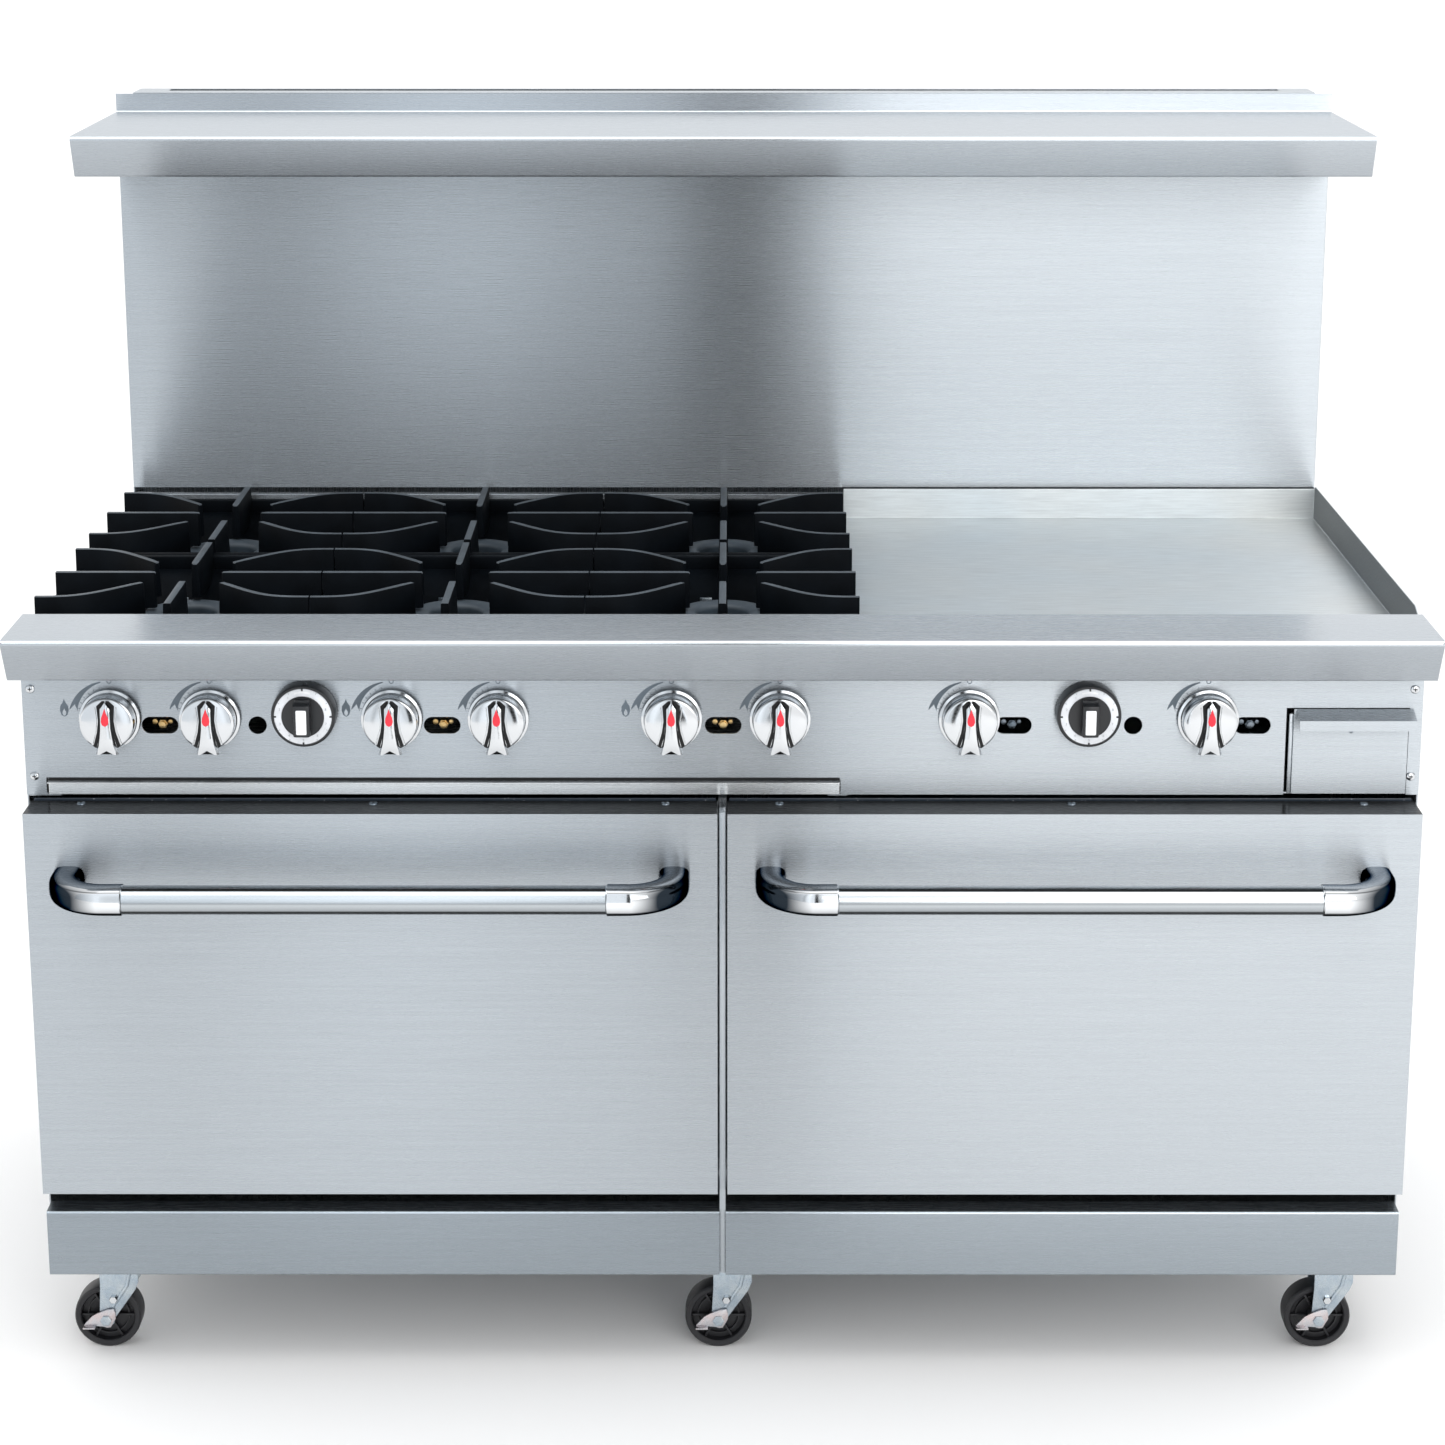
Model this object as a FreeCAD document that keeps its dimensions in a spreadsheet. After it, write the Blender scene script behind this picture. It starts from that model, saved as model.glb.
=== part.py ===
"""Commercial gas range, 60 in wide: six open burners, a griddle, two ovens, a riser with a
high shelf, and six casters.

Frame: X to the right, Y to the back, Z up, millimetres.  The origin is on the floor, under
the middle of the range's bounding box.  Every size is a cell of the sheet "Dims".  Positions
from front to back are given behind the front edge of the plate ledge, "front".
"""
import FreeCAD
import Part
import Sketcher
import math
import os
import re

Vector = FreeCAD.Vector

doc = FreeCAD.newDocument("gas_range")
sheet = doc.addObject("Spreadsheet::Sheet", "Dims")

# ---------------------------------------------------------------------------- driving sizes
DIMENSIONS = {
    # envelope
    "half_width": 762, "front": -392.5, "total_back": 826, "body_back": 800,
    "skin": 1.5, "plate": 2,
    # ledge and control panel
    "ledge_top": 864.4, "ledge_depth": 118.9, "lip_setback": 27.2, "lip_bottom": 813.8,
    "panel_setback": 90.2, "panel_bottom": 666.9,
    # base and casters
    "base_bottom": 115.8, "rail_width": 80, "rail_height": 50, "rail_metal": 3,
    "rail_setback": 72, "kick_setback": 44.6, "kick_top": 193.2, "kick_gap": 6.7,
    "caster_left": -687.8, "caster_middle": 11.2, "caster_right": 695.9,
    "caster_setback": 112, "caster_rear": 748, "caster_trail": 16,
    "wheel_radius": 38.1, "wheel_width": 28, "axle_radius": 4, "kingpin_radius": 6,
    "fork_metal": 3, "fork_space": 3.5, "fork_top": 103.3, "race_radius": 24, "plate_metal": 5.8,
    "caster_plate_x": 92, "caster_plate_y": 68, "bolt_span_x": 72, "bolt_span_y": 48,
    "bolt_radius": 4, "hub_radius": 11, "rim_wall": 8, "wheel_recess": 8, "lever_metal": 2.6,
    # doors, one each side of a centre post
    "door_setback": 41.2, "door_bottom": 216, "door_top": 660.2, "door_outer": 757,
    "door_inner": 5.4, "shell_depth": 38.8, "liner_depth": 8, "liner_bottom": 246,
    "pivot_setback": 71.2, "pivot_height": 231, "pin_radius": 4, "pin_play": 0.08,
    "ear_radius": 10, "ear_width": 12, "ear_inset": 9, "ear_play": 1.5, "screw_radius": 5,
    "door_screw_pitch": 319, "door_screw_setback": 77.2,
    # door handles
    "handle_height": 586.5, "handle_reach": 67, "handle_radius": 15.5, "handle_half": 257.6,
    "bracket_half": 345.8, "bracket_wide": 40, "bracket_tall": 28,
    # ovens
    "cavity_half": 320, "cavity_bottom": 262, "cavity_top": 602, "cavity_back": 704,
    "frame_bottom": 200, "frame_top": 662, "frame_setback": 92, "frame_half": 374,
    "divider_half": 4.4,
    "guide_width": 12, "guide_metal": 4, "guide_pitch": 80, "rack_wire": 3, "rack_depth": 520,
    "rack_pitch": 26,
    # controls
    "knob_height": 754.5, "knob_radius": 29, "knob_reach": 32, "knob_disc": 16,
    "stem_radius": 3.5, "stem_play": 0.08, "dial_height": 762, "dial_radius": 35,
    "dial_ring": 33, "dial_hub": 22.2, "grip_width": 18, "grip_half": 20.5,
    "pilot_height": 745.8, "pilot_length": 40, "pilot_radius": 9.5, "pilot_hole": 10,
    # gas line
    "manifold_radius": 16.7, "manifold_setback": 165, "manifold_left": -738,
    "manifold_right": 590, "supply_radius": 12.5, "inlet_radius": 13.35, "inlet_length": 24,
    "valve_radius": 14, "valve_tail": 6,
    # burners and grates
    "grate_pitch": 304.8, "grate_half": 151.4, "grate_row": 287, "grate_frame": 828,
    "grate_rim": 853, "grate_top": 869.5, "grate_bar": 11, "finger_tip": 39, "bowl_low": 804,
    "bowl_metal": 4, "bowl_radius": 62, "head_radius": 54, "head_bore": 29, "head_top": 825,
    "head_bottom": 793, "venturi_radius": 15, "venturi_height": 772, "venturi_offset": 57,
    "finger_width": 9, "grate_side": 845, "griddle_tube_radius": 19,
    "griddle_tube_height": 776, "oven_tube_radius": 17, "oven_tube_height": 225,
    "oven_tube_back": 640,
    # griddle
    "griddle_left": 153.4, "griddle_top": 824, "griddle_metal": 19, "griddle_back": 757,
    "splash_top": 863, "drain_width": 70,
    # drip tray and grease drawer
    "tray_left": -738.5, "tray_right": 129.2, "tray_top": 684, "tray_depth": 520,
    "drawer_left": 622, "drawer_right": 747, "drawer_bottom": 668.8, "drawer_top": 764.8,
    "drawer_depth": 400, "pull_drop": 19, "pull_reach": 22, "pull_slope": 7.5,
    "key_radius": 2.5, "key_height": 740,
    # riser and shelf
    "riser_setback": 770.5, "riser_bottom": 861.8, "flue_half": 741, "flue_throat": 797,
    "shelf_top": 1344.3, "shelf_front": 477, "shelf_lip_setback": 497.2,
    "shelf_lip_bottom": 1294.9, "upstand_top": 1367, "total_height": 1368.4,
}
for row, (alias, value) in enumerate(DIMENSIONS.items(), start=1):
    sheet.set("A%d" % row, alias)
    sheet.set("B%d" % row, str(value))
    sheet.setAlias("B%d" % row, alias)
doc.recompute()

# Places of the controls along the range.
BURNER_KNOBS = (-666.4, -557.5, -359.7, -243.8, -55.3, 62.7)
GRIDDLE_KNOBS = (268.4, 528.1)
DIALS = {"left": -453.9, "right": 397.1}
PILOT_SLOTS = (-612.8, -305.4, 0.8, 316.9, 577.3)
PILOT_HOLES = (-506.5, 447.4)
PANEL_SCREWS = ((-752.5, 787), (-752.5, 688), (752.5, 787), (752.5, 688))
GRATE_COLUMNS = {"left": -2, "middle": -1, "right": 0}
GRATE_ROWS = {"front": 0, "rear": 1}
DOOR_SIDES = {"left": -1, "right": 1}
CASTER_COLUMNS = ("left", "middle", "right")


class Sizes:
    """The sheet's numbers by name, for shapes that are drawn directly."""

    def __getattr__(self, name):
        return float(sheet.get(name))


size = Sizes()


# ------------------------------------------------------------------------------ small tools
def bound(formula):
    """A formula in the sheet's names, as the expression engine reads it."""
    return re.sub(r"[a-z][a-z_0-9]*", lambda word: "Dims." + word.group(), str(formula))


def back(setback):
    """A formula for a place that far behind the ledge's front edge."""
    return "(front + %s)" % setback


def box(x, y, z):
    """A block between two formulas on each axis."""
    block = doc.addObject("Part::Box", "Block")
    for side, axis, (low, high) in zip(("Length", "Width", "Height"), "xyz", (x, y, z)):
        block.setExpression(side, bound("(%s) - (%s)" % (high, low)))
        block.setExpression("Placement.Base." + axis, bound(low))
    return block


TURNS = {
    "x": FreeCAD.Rotation(Vector(0, 1, 0), 90),
    "y": FreeCAD.Rotation(Vector(1, 0, 0), -90),
    "z": FreeCAD.Rotation(),
}


def rod(along, radius, x, y, z):
    """A round bar.  The axis it lies along has a (low, high) pair, the others one formula."""
    bar = doc.addObject("Part::Cylinder", "Rod")
    bar.Placement = FreeCAD.Placement(Vector(), TURNS[along])
    bar.setExpression("Radius", bound(radius))
    for axis, place in zip("xyz", (x, y, z)):
        if axis == along:
            low, high = place
            bar.setExpression("Height", bound("(%s) - (%s)" % (high, low)))
            place = low
        bar.setExpression("Placement.Base." + axis, bound(place))
    return bar


def joined(*pieces):
    """One solid made of pieces that touch or cross."""
    union = doc.addObject("Part::MultiFuse", "Union")
    union.Shapes = list(pieces)
    union.Refine = True
    return union


def grouped(*pieces):
    """Separate solids kept as one object."""
    group = doc.addObject("Part::Compound", "Group")
    group.Links = list(pieces)
    return group


def cut(base, *tools):
    """The base without the tools."""
    rest = doc.addObject("Part::Cut", "Cut")
    rest.Base = base
    rest.Tool = tools[0] if len(tools) == 1 else grouped(*tools)
    return rest


def drawn(shape):
    """A feature for a shape drawn with Part's own functions."""
    feature = doc.addObject("Part::Feature", "Drawn")
    feature.Shape = shape
    return feature


def sketch_pad(name, outline, low, high):
    """A body whose outline in Y and Z, given as pairs of formulas, is padded along X."""
    body = doc.addObject("PartDesign::Body", name)
    sketch = body.newObject("Sketcher::SketchObject", name + "Outline")
    plane = [item for item in body.Origin.OriginFeatures if item.Role == "YZ_Plane"][0]
    sketch.AttachmentSupport = (plane, "")
    sketch.MapMode = "FlatFace"
    sketch.setExpression("AttachmentOffset.Base.z", bound(low))
    count = len(outline)
    turn = 2 * math.pi / count
    start = [Vector(100 * math.cos(turn * i), 100 * math.sin(turn * i)) for i in range(count)]
    for i in range(count):
        sketch.addGeometry(Part.LineSegment(start[i], start[(i + 1) % count]), False)
    for i in range(count):
        sketch.addConstraint(Sketcher.Constraint("Coincident", i, 2, (i + 1) % count, 1))
    for i, place in enumerate(outline):
        for kind, value, formula in zip(("DistanceX", "DistanceY"), start[i], place):
            index = sketch.addConstraint(Sketcher.Constraint(kind, -1, 1, i, 1, value))
            sketch.setExpression("Constraints[%d]" % index, bound(formula))
    pad = body.newObject("PartDesign::Pad", name + "Pad")
    pad.Profile = sketch
    pad.setExpression("Length", bound("(%s) - (%s)" % (high, low)))
    return body


def plate_shape(points, thickness):
    """A flat plate from corner points, thickened along a vector."""
    wire = Part.makePolygon(list(points) + [points[0]])
    return Part.Face(wire).extrude(thickness)


nodes = {}


def node(name, piece):
    """Give a finished sub-part its label; the label names its file."""
    piece.Label = name
    nodes[name] = piece


# ------------------------------------------------------------------------------ base, skins
def base_frame():
    """Angle-iron rails front and rear, flat bars at the ends, and a tee across the middle."""
    flange = ("base_bottom", "base_bottom + rail_metal")
    web = ("base_bottom", "base_bottom + rail_height")
    near = "front + rail_setback"
    far = "front + body_back - 6"
    edge = "half_width - skin"
    across = ("-(%s)" % edge, edge)
    between = (near + " + rail_width", far + " - rail_width")
    front_rail = joined(box(across, (near, near + " + rail_width"), flange),
                        box(across, (near, near + " + rail_metal"), web))
    rear_rail = joined(box(across, (far + " - rail_width", far), flange),
                       box(across, (far + " - rail_metal", far), web))
    left_bar = box(("-(%s)" % edge, "-(%s) + rail_metal" % edge), between, web)
    right_bar = box((edge + " - rail_metal", edge), between, web)
    tee = joined(box(("-rail_width / 2 + 8", "rail_width / 2 + 8"), between, flange),
                 box(("-rail_metal", "rail_metal"), between, web))
    node("base_frame", grouped(front_rail, rear_rail, left_bar, right_bar, tee))


def body_panels():
    """Left, right, rear and bottom skins, and the wall and post between the ovens."""
    side_y = (back("panel_setback + plate"), back("body_back"))
    side_z = ("base_bottom", "griddle_top - griddle_metal - 2")
    inner = "half_width - skin"
    inside_y = (back("panel_setback + plate"), back("body_back - skin"))
    floor = "base_bottom + rail_height"
    pieces = [
        box(("-half_width", "-(%s)" % inner), side_y, side_z),
        box((inner, "half_width"), side_y, side_z),
        box(("-(%s)" % inner, inner), (back("body_back - skin"), back("body_back")),
            ("base_bottom", "riser_bottom")),
        box(("-(%s)" % inner, inner), inside_y, (floor, floor + " + skin")),
        box(("-divider_half", "divider_half"), (back("frame_setback"), back("body_back - skin")),
            (floor + " + skin", "frame_top")),
        box(("-half_width", "-(%s)" % inner), (back("riser_setback"), back("body_back")),
            (side_z[1], "riser_bottom")),
        box((inner, "half_width"), (back("griddle_back + plate"), back("body_back")),
            (side_z[1], "riser_bottom")),
    ]
    gas_hole = rod("y", "supply_radius + 1", "manifold_left",
                   (back("body_back - 10"), back("body_back + 10")), "knob_height")
    pieces[2] = cut(pieces[2], gas_hole)
    node("body_panels", grouped(*pieces))


def kick_plates():
    """Two folded kick plates under the doors, a flange at the top and bottom."""
    plates = []
    for side in DOOR_SIDES.values():
        ends = ("half_width - 7", "kick_gap / 2") if side > 0 else (
            "-half_width + 7", "-kick_gap / 2")
        low, high = ends if side < 0 else ends[::-1]
        face = box((low, high), (back("kick_setback"), back("kick_setback + skin")),
                   ("base_bottom", "kick_top"))
        depth = (back("kick_setback"), back("rail_setback"))
        top = box((low, high), depth, ("kick_top - skin", "kick_top"))
        foot = box((low, high), depth, ("base_bottom", "base_bottom + skin"))
        outer = (low, low + " + skin") if side < 0 else (high + " - skin", high)
        end = box(outer, depth, ("base_bottom", "kick_top"))
        plates.append(joined(face, top, foot, end))
    node("kick_plates", grouped(*plates))


def control_panel():
    """The front panel, with holes for stems, pilots, the drip tray and the grease drawer."""
    through = (back("panel_setback - 5"), back("panel_setback + 10"))
    panel = box(("-half_width", "half_width"),
                (back("panel_setback"), back("panel_setback + plate")),
                ("panel_bottom", "lip_bottom"))
    holes = [
        rod("y", "stem_radius + 1", x, through, "knob_height")
        for x in BURNER_KNOBS + GRIDDLE_KNOBS
    ]
    holes += [rod("y", "stem_radius + 1", x, through, "dial_height") for x in DIALS.values()]
    holes += [rod("y", "pilot_hole", x, through, "pilot_height") for x in PILOT_HOLES]
    reach = "(pilot_length / 2 - pilot_radius)"
    for x in PILOT_SLOTS:
        low, high = "%s - %s" % (x, reach), "%s + %s" % (x, reach)
        holes.append(joined(
            box((low, high), through,
                ("pilot_height - pilot_radius", "pilot_height + pilot_radius")),
            rod("y", "pilot_radius", low, through, "pilot_height"),
            rod("y", "pilot_radius", high, through, "pilot_height"),
        ))
    holes += [rod("y", "screw_radius / 2", x, through, z) for x, z in PANEL_SCREWS]
    holes.append(box(("tray_left", "tray_right"), through, ("panel_bottom - 5", "tray_top")))
    holes.append(box(("drawer_left - 8", "drawer_right + 1"), through,
                     ("panel_bottom - 5", "drawer_top + 1")))
    node("control_panel", cut(panel, *holes))


def panel_screws():
    """Four screws that hold the control panel."""
    screws = []
    for x, z in PANEL_SCREWS:
        head = rod("y", "screw_radius", x,
                   (back("panel_setback - 3"), back("panel_setback")), z)
        shank = rod("y", "screw_radius / 2", x,
                    (back("panel_setback"), back("panel_setback + 9")), z)
        screws.append(joined(head, shank))
    node("panel_screws", grouped(*screws))


def front_ledge():
    """The folded plate ledge: flat top, lip slanting back, open at the bottom behind it."""
    outer = [
        ("front", "ledge_top"),
        ("front + lip_setback", "lip_bottom"),
        ("front + panel_setback + plate", "lip_bottom"),
        ("front + panel_setback + plate", "lip_bottom + plate"),
        ("front + lip_setback + 1.5", "lip_bottom + plate"),
        ("front + plate + 1", "ledge_top - plate"),
        ("front + ledge_depth - plate", "ledge_top - plate"),
        ("front + ledge_depth - plate", "griddle_top - griddle_metal"),
        ("front + ledge_depth", "griddle_top - griddle_metal"),
        ("front + ledge_depth", "ledge_top"),
    ]
    fold = sketch_pad("LedgeFold", outer, "-half_width", "half_width")
    end_outline = [
        ("front", "ledge_top"),
        ("front + lip_setback", "lip_bottom"),
        ("front + ledge_depth", "lip_bottom"),
        ("front + ledge_depth", "ledge_top"),
    ]
    left = sketch_pad("LedgeLeftEnd", end_outline, "-half_width", "-half_width + plate")
    right = sketch_pad("LedgeRightEnd", end_outline, "half_width - plate", "half_width")
    node("front_ledge", joined(fold, left, right))


# ------------------------------------------------------------------------------------ ovens
def oven_middle(side):
    """The X of an oven's middle, the middle of its door."""
    return "%d * (door_outer + door_inner) / 2" % side


def oven_liner(name, side):
    """A front frame, the oven box behind it with three rack guides a side, and hinge ears."""
    middle = oven_middle(side)
    inner = ("%s - cavity_half" % middle, "%s + cavity_half" % middle)
    outer = ("%s - plate" % inner[0], "%s + plate" % inner[1])
    front_y = back("frame_setback")
    frame = box(("%s - frame_half" % middle, "%s + frame_half" % middle),
                (front_y, back("frame_setback + plate")), ("frame_bottom", "frame_top"))
    shell = box(outer, (front_y, back("cavity_back + plate")),
                ("cavity_bottom - plate", "cavity_top + plate"))
    hollow = box(inner, (back("frame_setback - 5"), back("cavity_back")),
                 ("cavity_bottom", "cavity_top"))
    pieces = [cut(joined(frame, shell), hollow)]
    for level in range(1, 4):
        height = "cavity_bottom + %d * guide_pitch" % level
        span_z = (height, height + " + guide_metal")
        span_y = (back("frame_setback + 20"), back("cavity_back"))
        pieces.append(box((inner[0], inner[0] + " + guide_width"), span_y, span_z))
        pieces.append(box((inner[1] + " - guide_width", inner[1]), span_y, span_z))
    ears = []
    for hand in (-1, 1):
        low, high = ear_span(middle, hand)
        knuckle = rod("x", "ear_radius", (low, high), back("pivot_setback"), "pivot_height")
        arm = box((low, high), (back("pivot_setback"), back("frame_setback + plate")),
                  ("pivot_height - ear_radius", "pivot_height + ear_radius"))
        ears.append(joined(knuckle, arm))
    bores = rod("x", "pin_radius + pin_play",
                ("%s - frame_half - 2" % middle, "%s + frame_half + 2" % middle),
                back("pivot_setback"), "pivot_height")
    node(name, cut(joined(*pieces, *ears), bores))


def ear_span(middle, hand):
    """The X span of a hinge ear near the left (-1) or right (1) edge of a door."""
    edge = "%s + %d * ((door_outer - door_inner) / 2 - ear_inset - ear_width / 2)" % (
        middle, hand)
    return "%s - ear_width / 2" % edge, "%s + ear_width / 2" % edge


def oven_rack(name, side):
    """A wire rack on the middle pair of guides."""
    middle = oven_middle(side)
    half = "(cavity_half - 3)"
    height = "cavity_bottom + 2 * guide_pitch + guide_metal + rack_wire + 0.3"
    near = "front + frame_setback + plate + 60"
    far = near + " + rack_depth"
    edge_x = ("%s - %s" % (middle, half), "%s + %s" % (middle, half))
    wires = [
        rod("x", "rack_wire", edge_x, near + " + rack_wire", height),
        rod("x", "rack_wire", edge_x, far + " - rack_wire", height),
        rod("y", "rack_wire", edge_x[0] + " + rack_wire", (near, far), height),
        rod("y", "rack_wire", edge_x[1] + " - rack_wire", (near, far), height),
    ]
    for k in range(-11, 12):
        wires.append(rod("y", "rack_wire - 0.8", "%s + %d * rack_pitch" % (middle, k),
                         (near + " + rack_wire", far + " - rack_wire"), height))
    node(name, joined(*wires))


# ------------------------------------------------------------------------------------ doors
def door_span(side, inset="0"):
    """The X span of a door, less an inset at each edge."""
    if side < 0:
        return "-door_outer + %s" % inset, "-door_inner - %s" % inset
    return "door_inner + %s" % inset, "door_outer - %s" % inset


def door_shell(name, side):
    """A folded stainless pan, with its hinge pins and the ribs that carry them."""
    span = door_span(side)
    depth = (back("door_setback"), back("door_setback + shell_depth"))
    top_depth = (back("door_setback"), back("door_setback + shell_depth + liner_depth"))
    height = ("door_bottom", "door_top")
    middle = oven_middle(side)
    skin = box(span, (back("door_setback"), back("door_setback + plate")), height)
    top = box(span, top_depth, ("door_top - plate", "door_top"))
    foot = box(span, depth, ("door_bottom", "door_bottom + plate"))
    left = box((span[0], span[0] + " + plate"), depth, height)
    right = box((span[1] + " - plate", span[1]), depth, height)
    pieces = [top, left, right, skin]
    notches = []
    for hand in (-1, 1):
        low, high = ear_span(middle, hand)
        notches.append(box(("%s - ear_play" % low, "%s + ear_play" % high),
                           (back("door_setback + plate"), back("door_setback + 60")),
                           ("door_bottom - 1", "door_bottom + 5")))
        rib_low = high + " + ear_play" if hand < 0 else low + " - ear_play - plate"
        rib = (rib_low, rib_low + " + plate")
        pieces.append(box(rib, depth, ("door_bottom", "pivot_height + 14")))
        pin = (span[0], rib[1]) if hand < 0 else (rib[0], span[1])
        pieces.append(rod("x", "pin_radius", pin, back("pivot_setback"), "pivot_height"))
    screw_holes = [
        rod("z", "screw_radius / 2", x, back("door_screw_setback"),
            ("door_top - 5", "door_top + 1"))
        for x in screw_places(middle)
    ]
    pieces.append(cut(foot, *notches))
    node(name, cut(joined(*pieces), *screw_holes))


def screw_places(middle):
    """The X of the three screws along a door's top."""
    return ["%s + %d * door_screw_pitch" % (middle, k) for k in (-1, 0, 1)]


def door_screws(name, side):
    """Three pan-head screws that join a door's skin to its liner."""
    screws = []
    for x in screw_places(oven_middle(side)):
        y = back("door_screw_setback")
        head = rod("z", "screw_radius", x, y, ("door_top", "door_top + 2.6"))
        shank = rod("z", "screw_radius / 2", x, y, ("door_top - plate - 8", "door_top"))
        screws.append(joined(head, shank))
    node(name, grouped(*screws))


def door_liner(name, side):
    """The door's inner pan, facing the oven."""
    span = door_span(side, "0.5")
    far = back("door_setback + shell_depth + liner_depth")
    pan = box(span, (back("door_setback + shell_depth"), far),
              ("liner_bottom", "door_top - plate"))
    hollow = box((span[0] + " + plate", span[1] + " - plate"),
                 (back("door_setback"), far + " - plate"),
                 ("liner_bottom + plate", "door_top - 2 * plate"))
    flange = box((span[0] + " + 3", span[1] + " - 3"),
                 (back("door_setback + 20"), back("door_setback + shell_depth")),
                 ("door_top - 2 * plate", "door_top - plate"))
    holes = [
        rod("z", "screw_radius / 2", x, back("door_screw_setback"),
            ("door_top - 8", "door_top"))
        for x in screw_places(oven_middle(side))
    ]
    node(name, cut(joined(cut(pan, hollow), flange), *holes))


def quarter_ellipse(centre, side_end, front_end):
    """A quarter of an ellipse between two points straight out from its centre."""
    across, ahead = side_end - centre, front_end - centre
    corner = centre + across * math.cos(math.pi / 4) + ahead * math.sin(math.pi / 4)
    major, minor = (side_end, front_end) if across.Length > ahead.Length else (
        front_end, side_end)
    whole = Part.Ellipse(major, minor, centre)
    start, end = sorted((whole.parameter(side_end), whole.parameter(front_end)))
    if not start < whole.parameter(corner) < end:
        start, end = end, start + 2 * math.pi
    return Part.ArcOfEllipse(whole, start, end).toShape()


def door_handle(name, side):
    """A round tube between two curved flat-sided brackets that stand on the door."""
    middle = side * (size.door_outer + size.door_inner) / 2
    face = size.front + size.door_setback
    centre = face - size.handle_reach
    low_z = size.handle_height - size.bracket_tall / 2
    near = centre - size.handle_radius
    behind = centre + size.handle_radius
    tube = Part.makeCylinder(size.handle_radius, 2 * size.handle_half,
                             Vector(middle - size.handle_half, centre, size.handle_height),
                             Vector(1, 0, 0))
    solid = tube
    for hand in (-1, 1):
        def place(out, y):
            return Vector(middle + hand * out, y, low_z)

        tip, toe = size.handle_half - 6, size.bracket_half
        heel = toe - size.bracket_wide
        edges = [
            quarter_ellipse(place(tip, face - 8), place(toe, face - 8), place(tip, near)),
            Part.makeLine(place(toe, face - 8), place(toe, face)),
            Part.makeLine(place(toe, face), place(heel, face)),
            Part.makeLine(place(heel, face), place(heel, face - 12)),
            quarter_ellipse(place(tip, face - 12), place(heel, face - 12), place(tip, behind)),
            Part.makeLine(place(tip, behind), place(tip, near)),
        ]
        profile = Part.Face(Part.Wire(Part.__sortEdges__(edges)))
        bracket = profile.extrude(Vector(0, 0, size.bracket_tall))
        solid = solid.fuse(bracket)
    node(name, drawn(solid.removeSplitter()))


# --------------------------------------------------------------------------------- controls
def knob(name, x):
    """A round knob on its stem, with a raised grip that widens into a fishtail."""
    z = size.knob_height
    panel = size.front + size.panel_setback
    face = panel - size.knob_reach + 8
    towards_back = Vector(0, 1, 0)
    disc = Part.makeCylinder(size.knob_radius, size.knob_disc, Vector(x, face, z), towards_back)
    flange = Part.makeCylinder(size.knob_radius + 3, 3,
                               Vector(x, face + size.knob_disc, z), towards_back)
    stem = Part.makeCylinder(size.stem_radius, 30 - 0.5, Vector(x, face + 10, z), towards_back)
    outline = [(0, 27), (7, 21), (6, 0), (12, -34), (0, -29), (-12, -34), (-6, 0), (-7, 21)]
    front_of_grip = panel - size.knob_reach
    corners = [Vector(x + dx, front_of_grip, z + dz) for dx, dz in outline]
    grip = plate_shape(corners, Vector(0, 10, 0))
    solid = disc.fuse([flange, stem, grip])
    node(name, drawn(solid.removeSplitter()))


def thermostat_dial(name, x):
    """A bezel, a raised ring, a recessed hub and a bar grip, on a stem."""
    z = size.dial_height
    panel = size.front + size.panel_setback
    towards_back = Vector(0, 1, 0)

    def disc(radius, near, far):
        return Part.makeCylinder(radius, far - near, Vector(x, near, z), towards_back)

    bezel = disc(size.dial_radius, panel - 20, panel - 1)
    ring = disc(size.dial_ring, panel - 22, panel - 20)
    hub = disc(size.dial_hub, panel - 23, panel - 22)
    stem = disc(size.stem_radius, panel - 1, panel + 28)
    half = size.grip_width / 2
    grip = Part.makeBox(2 * half, 16, 2 * size.grip_half,
                        Vector(x - half, panel - 38, z - size.grip_half))
    solid = bezel.fuse([ring, hub, stem, grip])
    node(name, drawn(solid.removeSplitter()))


def gas_manifold():
    """The gas pipe behind the panel and its supply leg, with a fitting at the rear inlet."""
    across = rod("x", "manifold_radius", ("manifold_left - manifold_radius", "manifold_right"),
                 back("manifold_setback"), "knob_height")
    supply = rod("y", "supply_radius", "manifold_left",
                 (back("manifold_setback"), back("total_back - inlet_length")), "knob_height")
    inlet = rod("y", "inlet_radius", "manifold_left",
                (back("total_back - inlet_length"), back("total_back")), "knob_height")
    taps = [
        rod("y", "valve_tail", x, (back("manifold_setback - 25"), back("manifold_setback - 8")),
            "knob_height")
        for x in BURNER_KNOBS + GRIDDLE_KNOBS
    ]
    node("gas_manifold", cut(joined(across, supply, inlet), *taps))


def gas_valves():
    """A valve behind each knob, and a thermostat body behind each dial."""
    valves = []
    for x in BURNER_KNOBS + GRIDDLE_KNOBS:
        body = rod("y", "valve_radius", x,
                   (back("panel_setback + plate"), back("manifold_setback - 25")),
                   "knob_height")
        tail = rod("y", "valve_tail", x,
                   (back("manifold_setback - 25"), back("manifold_setback - 8")),
                   "knob_height")
        bore = rod("y", "stem_radius + stem_play", x,
                   (back("panel_setback"), back("panel_setback + 30")), "knob_height")
        valves.append(cut(joined(body, tail), bore))
    for x in DIALS.values():
        body = box((str(x) + " - 27", str(x) + " + 27"),
                   (back("panel_setback + plate"), back("manifold_setback - 20")),
                   ("dial_height - 22", "dial_height + 32"))
        bore = rod("y", "stem_radius + stem_play", x,
                   (back("panel_setback"), back("panel_setback + 32")), "dial_height")
        valves.append(cut(body, bore))
    node("gas_valves", grouped(*valves))


# ---------------------------------------------------------------------------------- burners
def row_y(row):
    """The Y of a row of grates."""
    return back("grate_row + %d * grate_pitch" % row)


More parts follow.
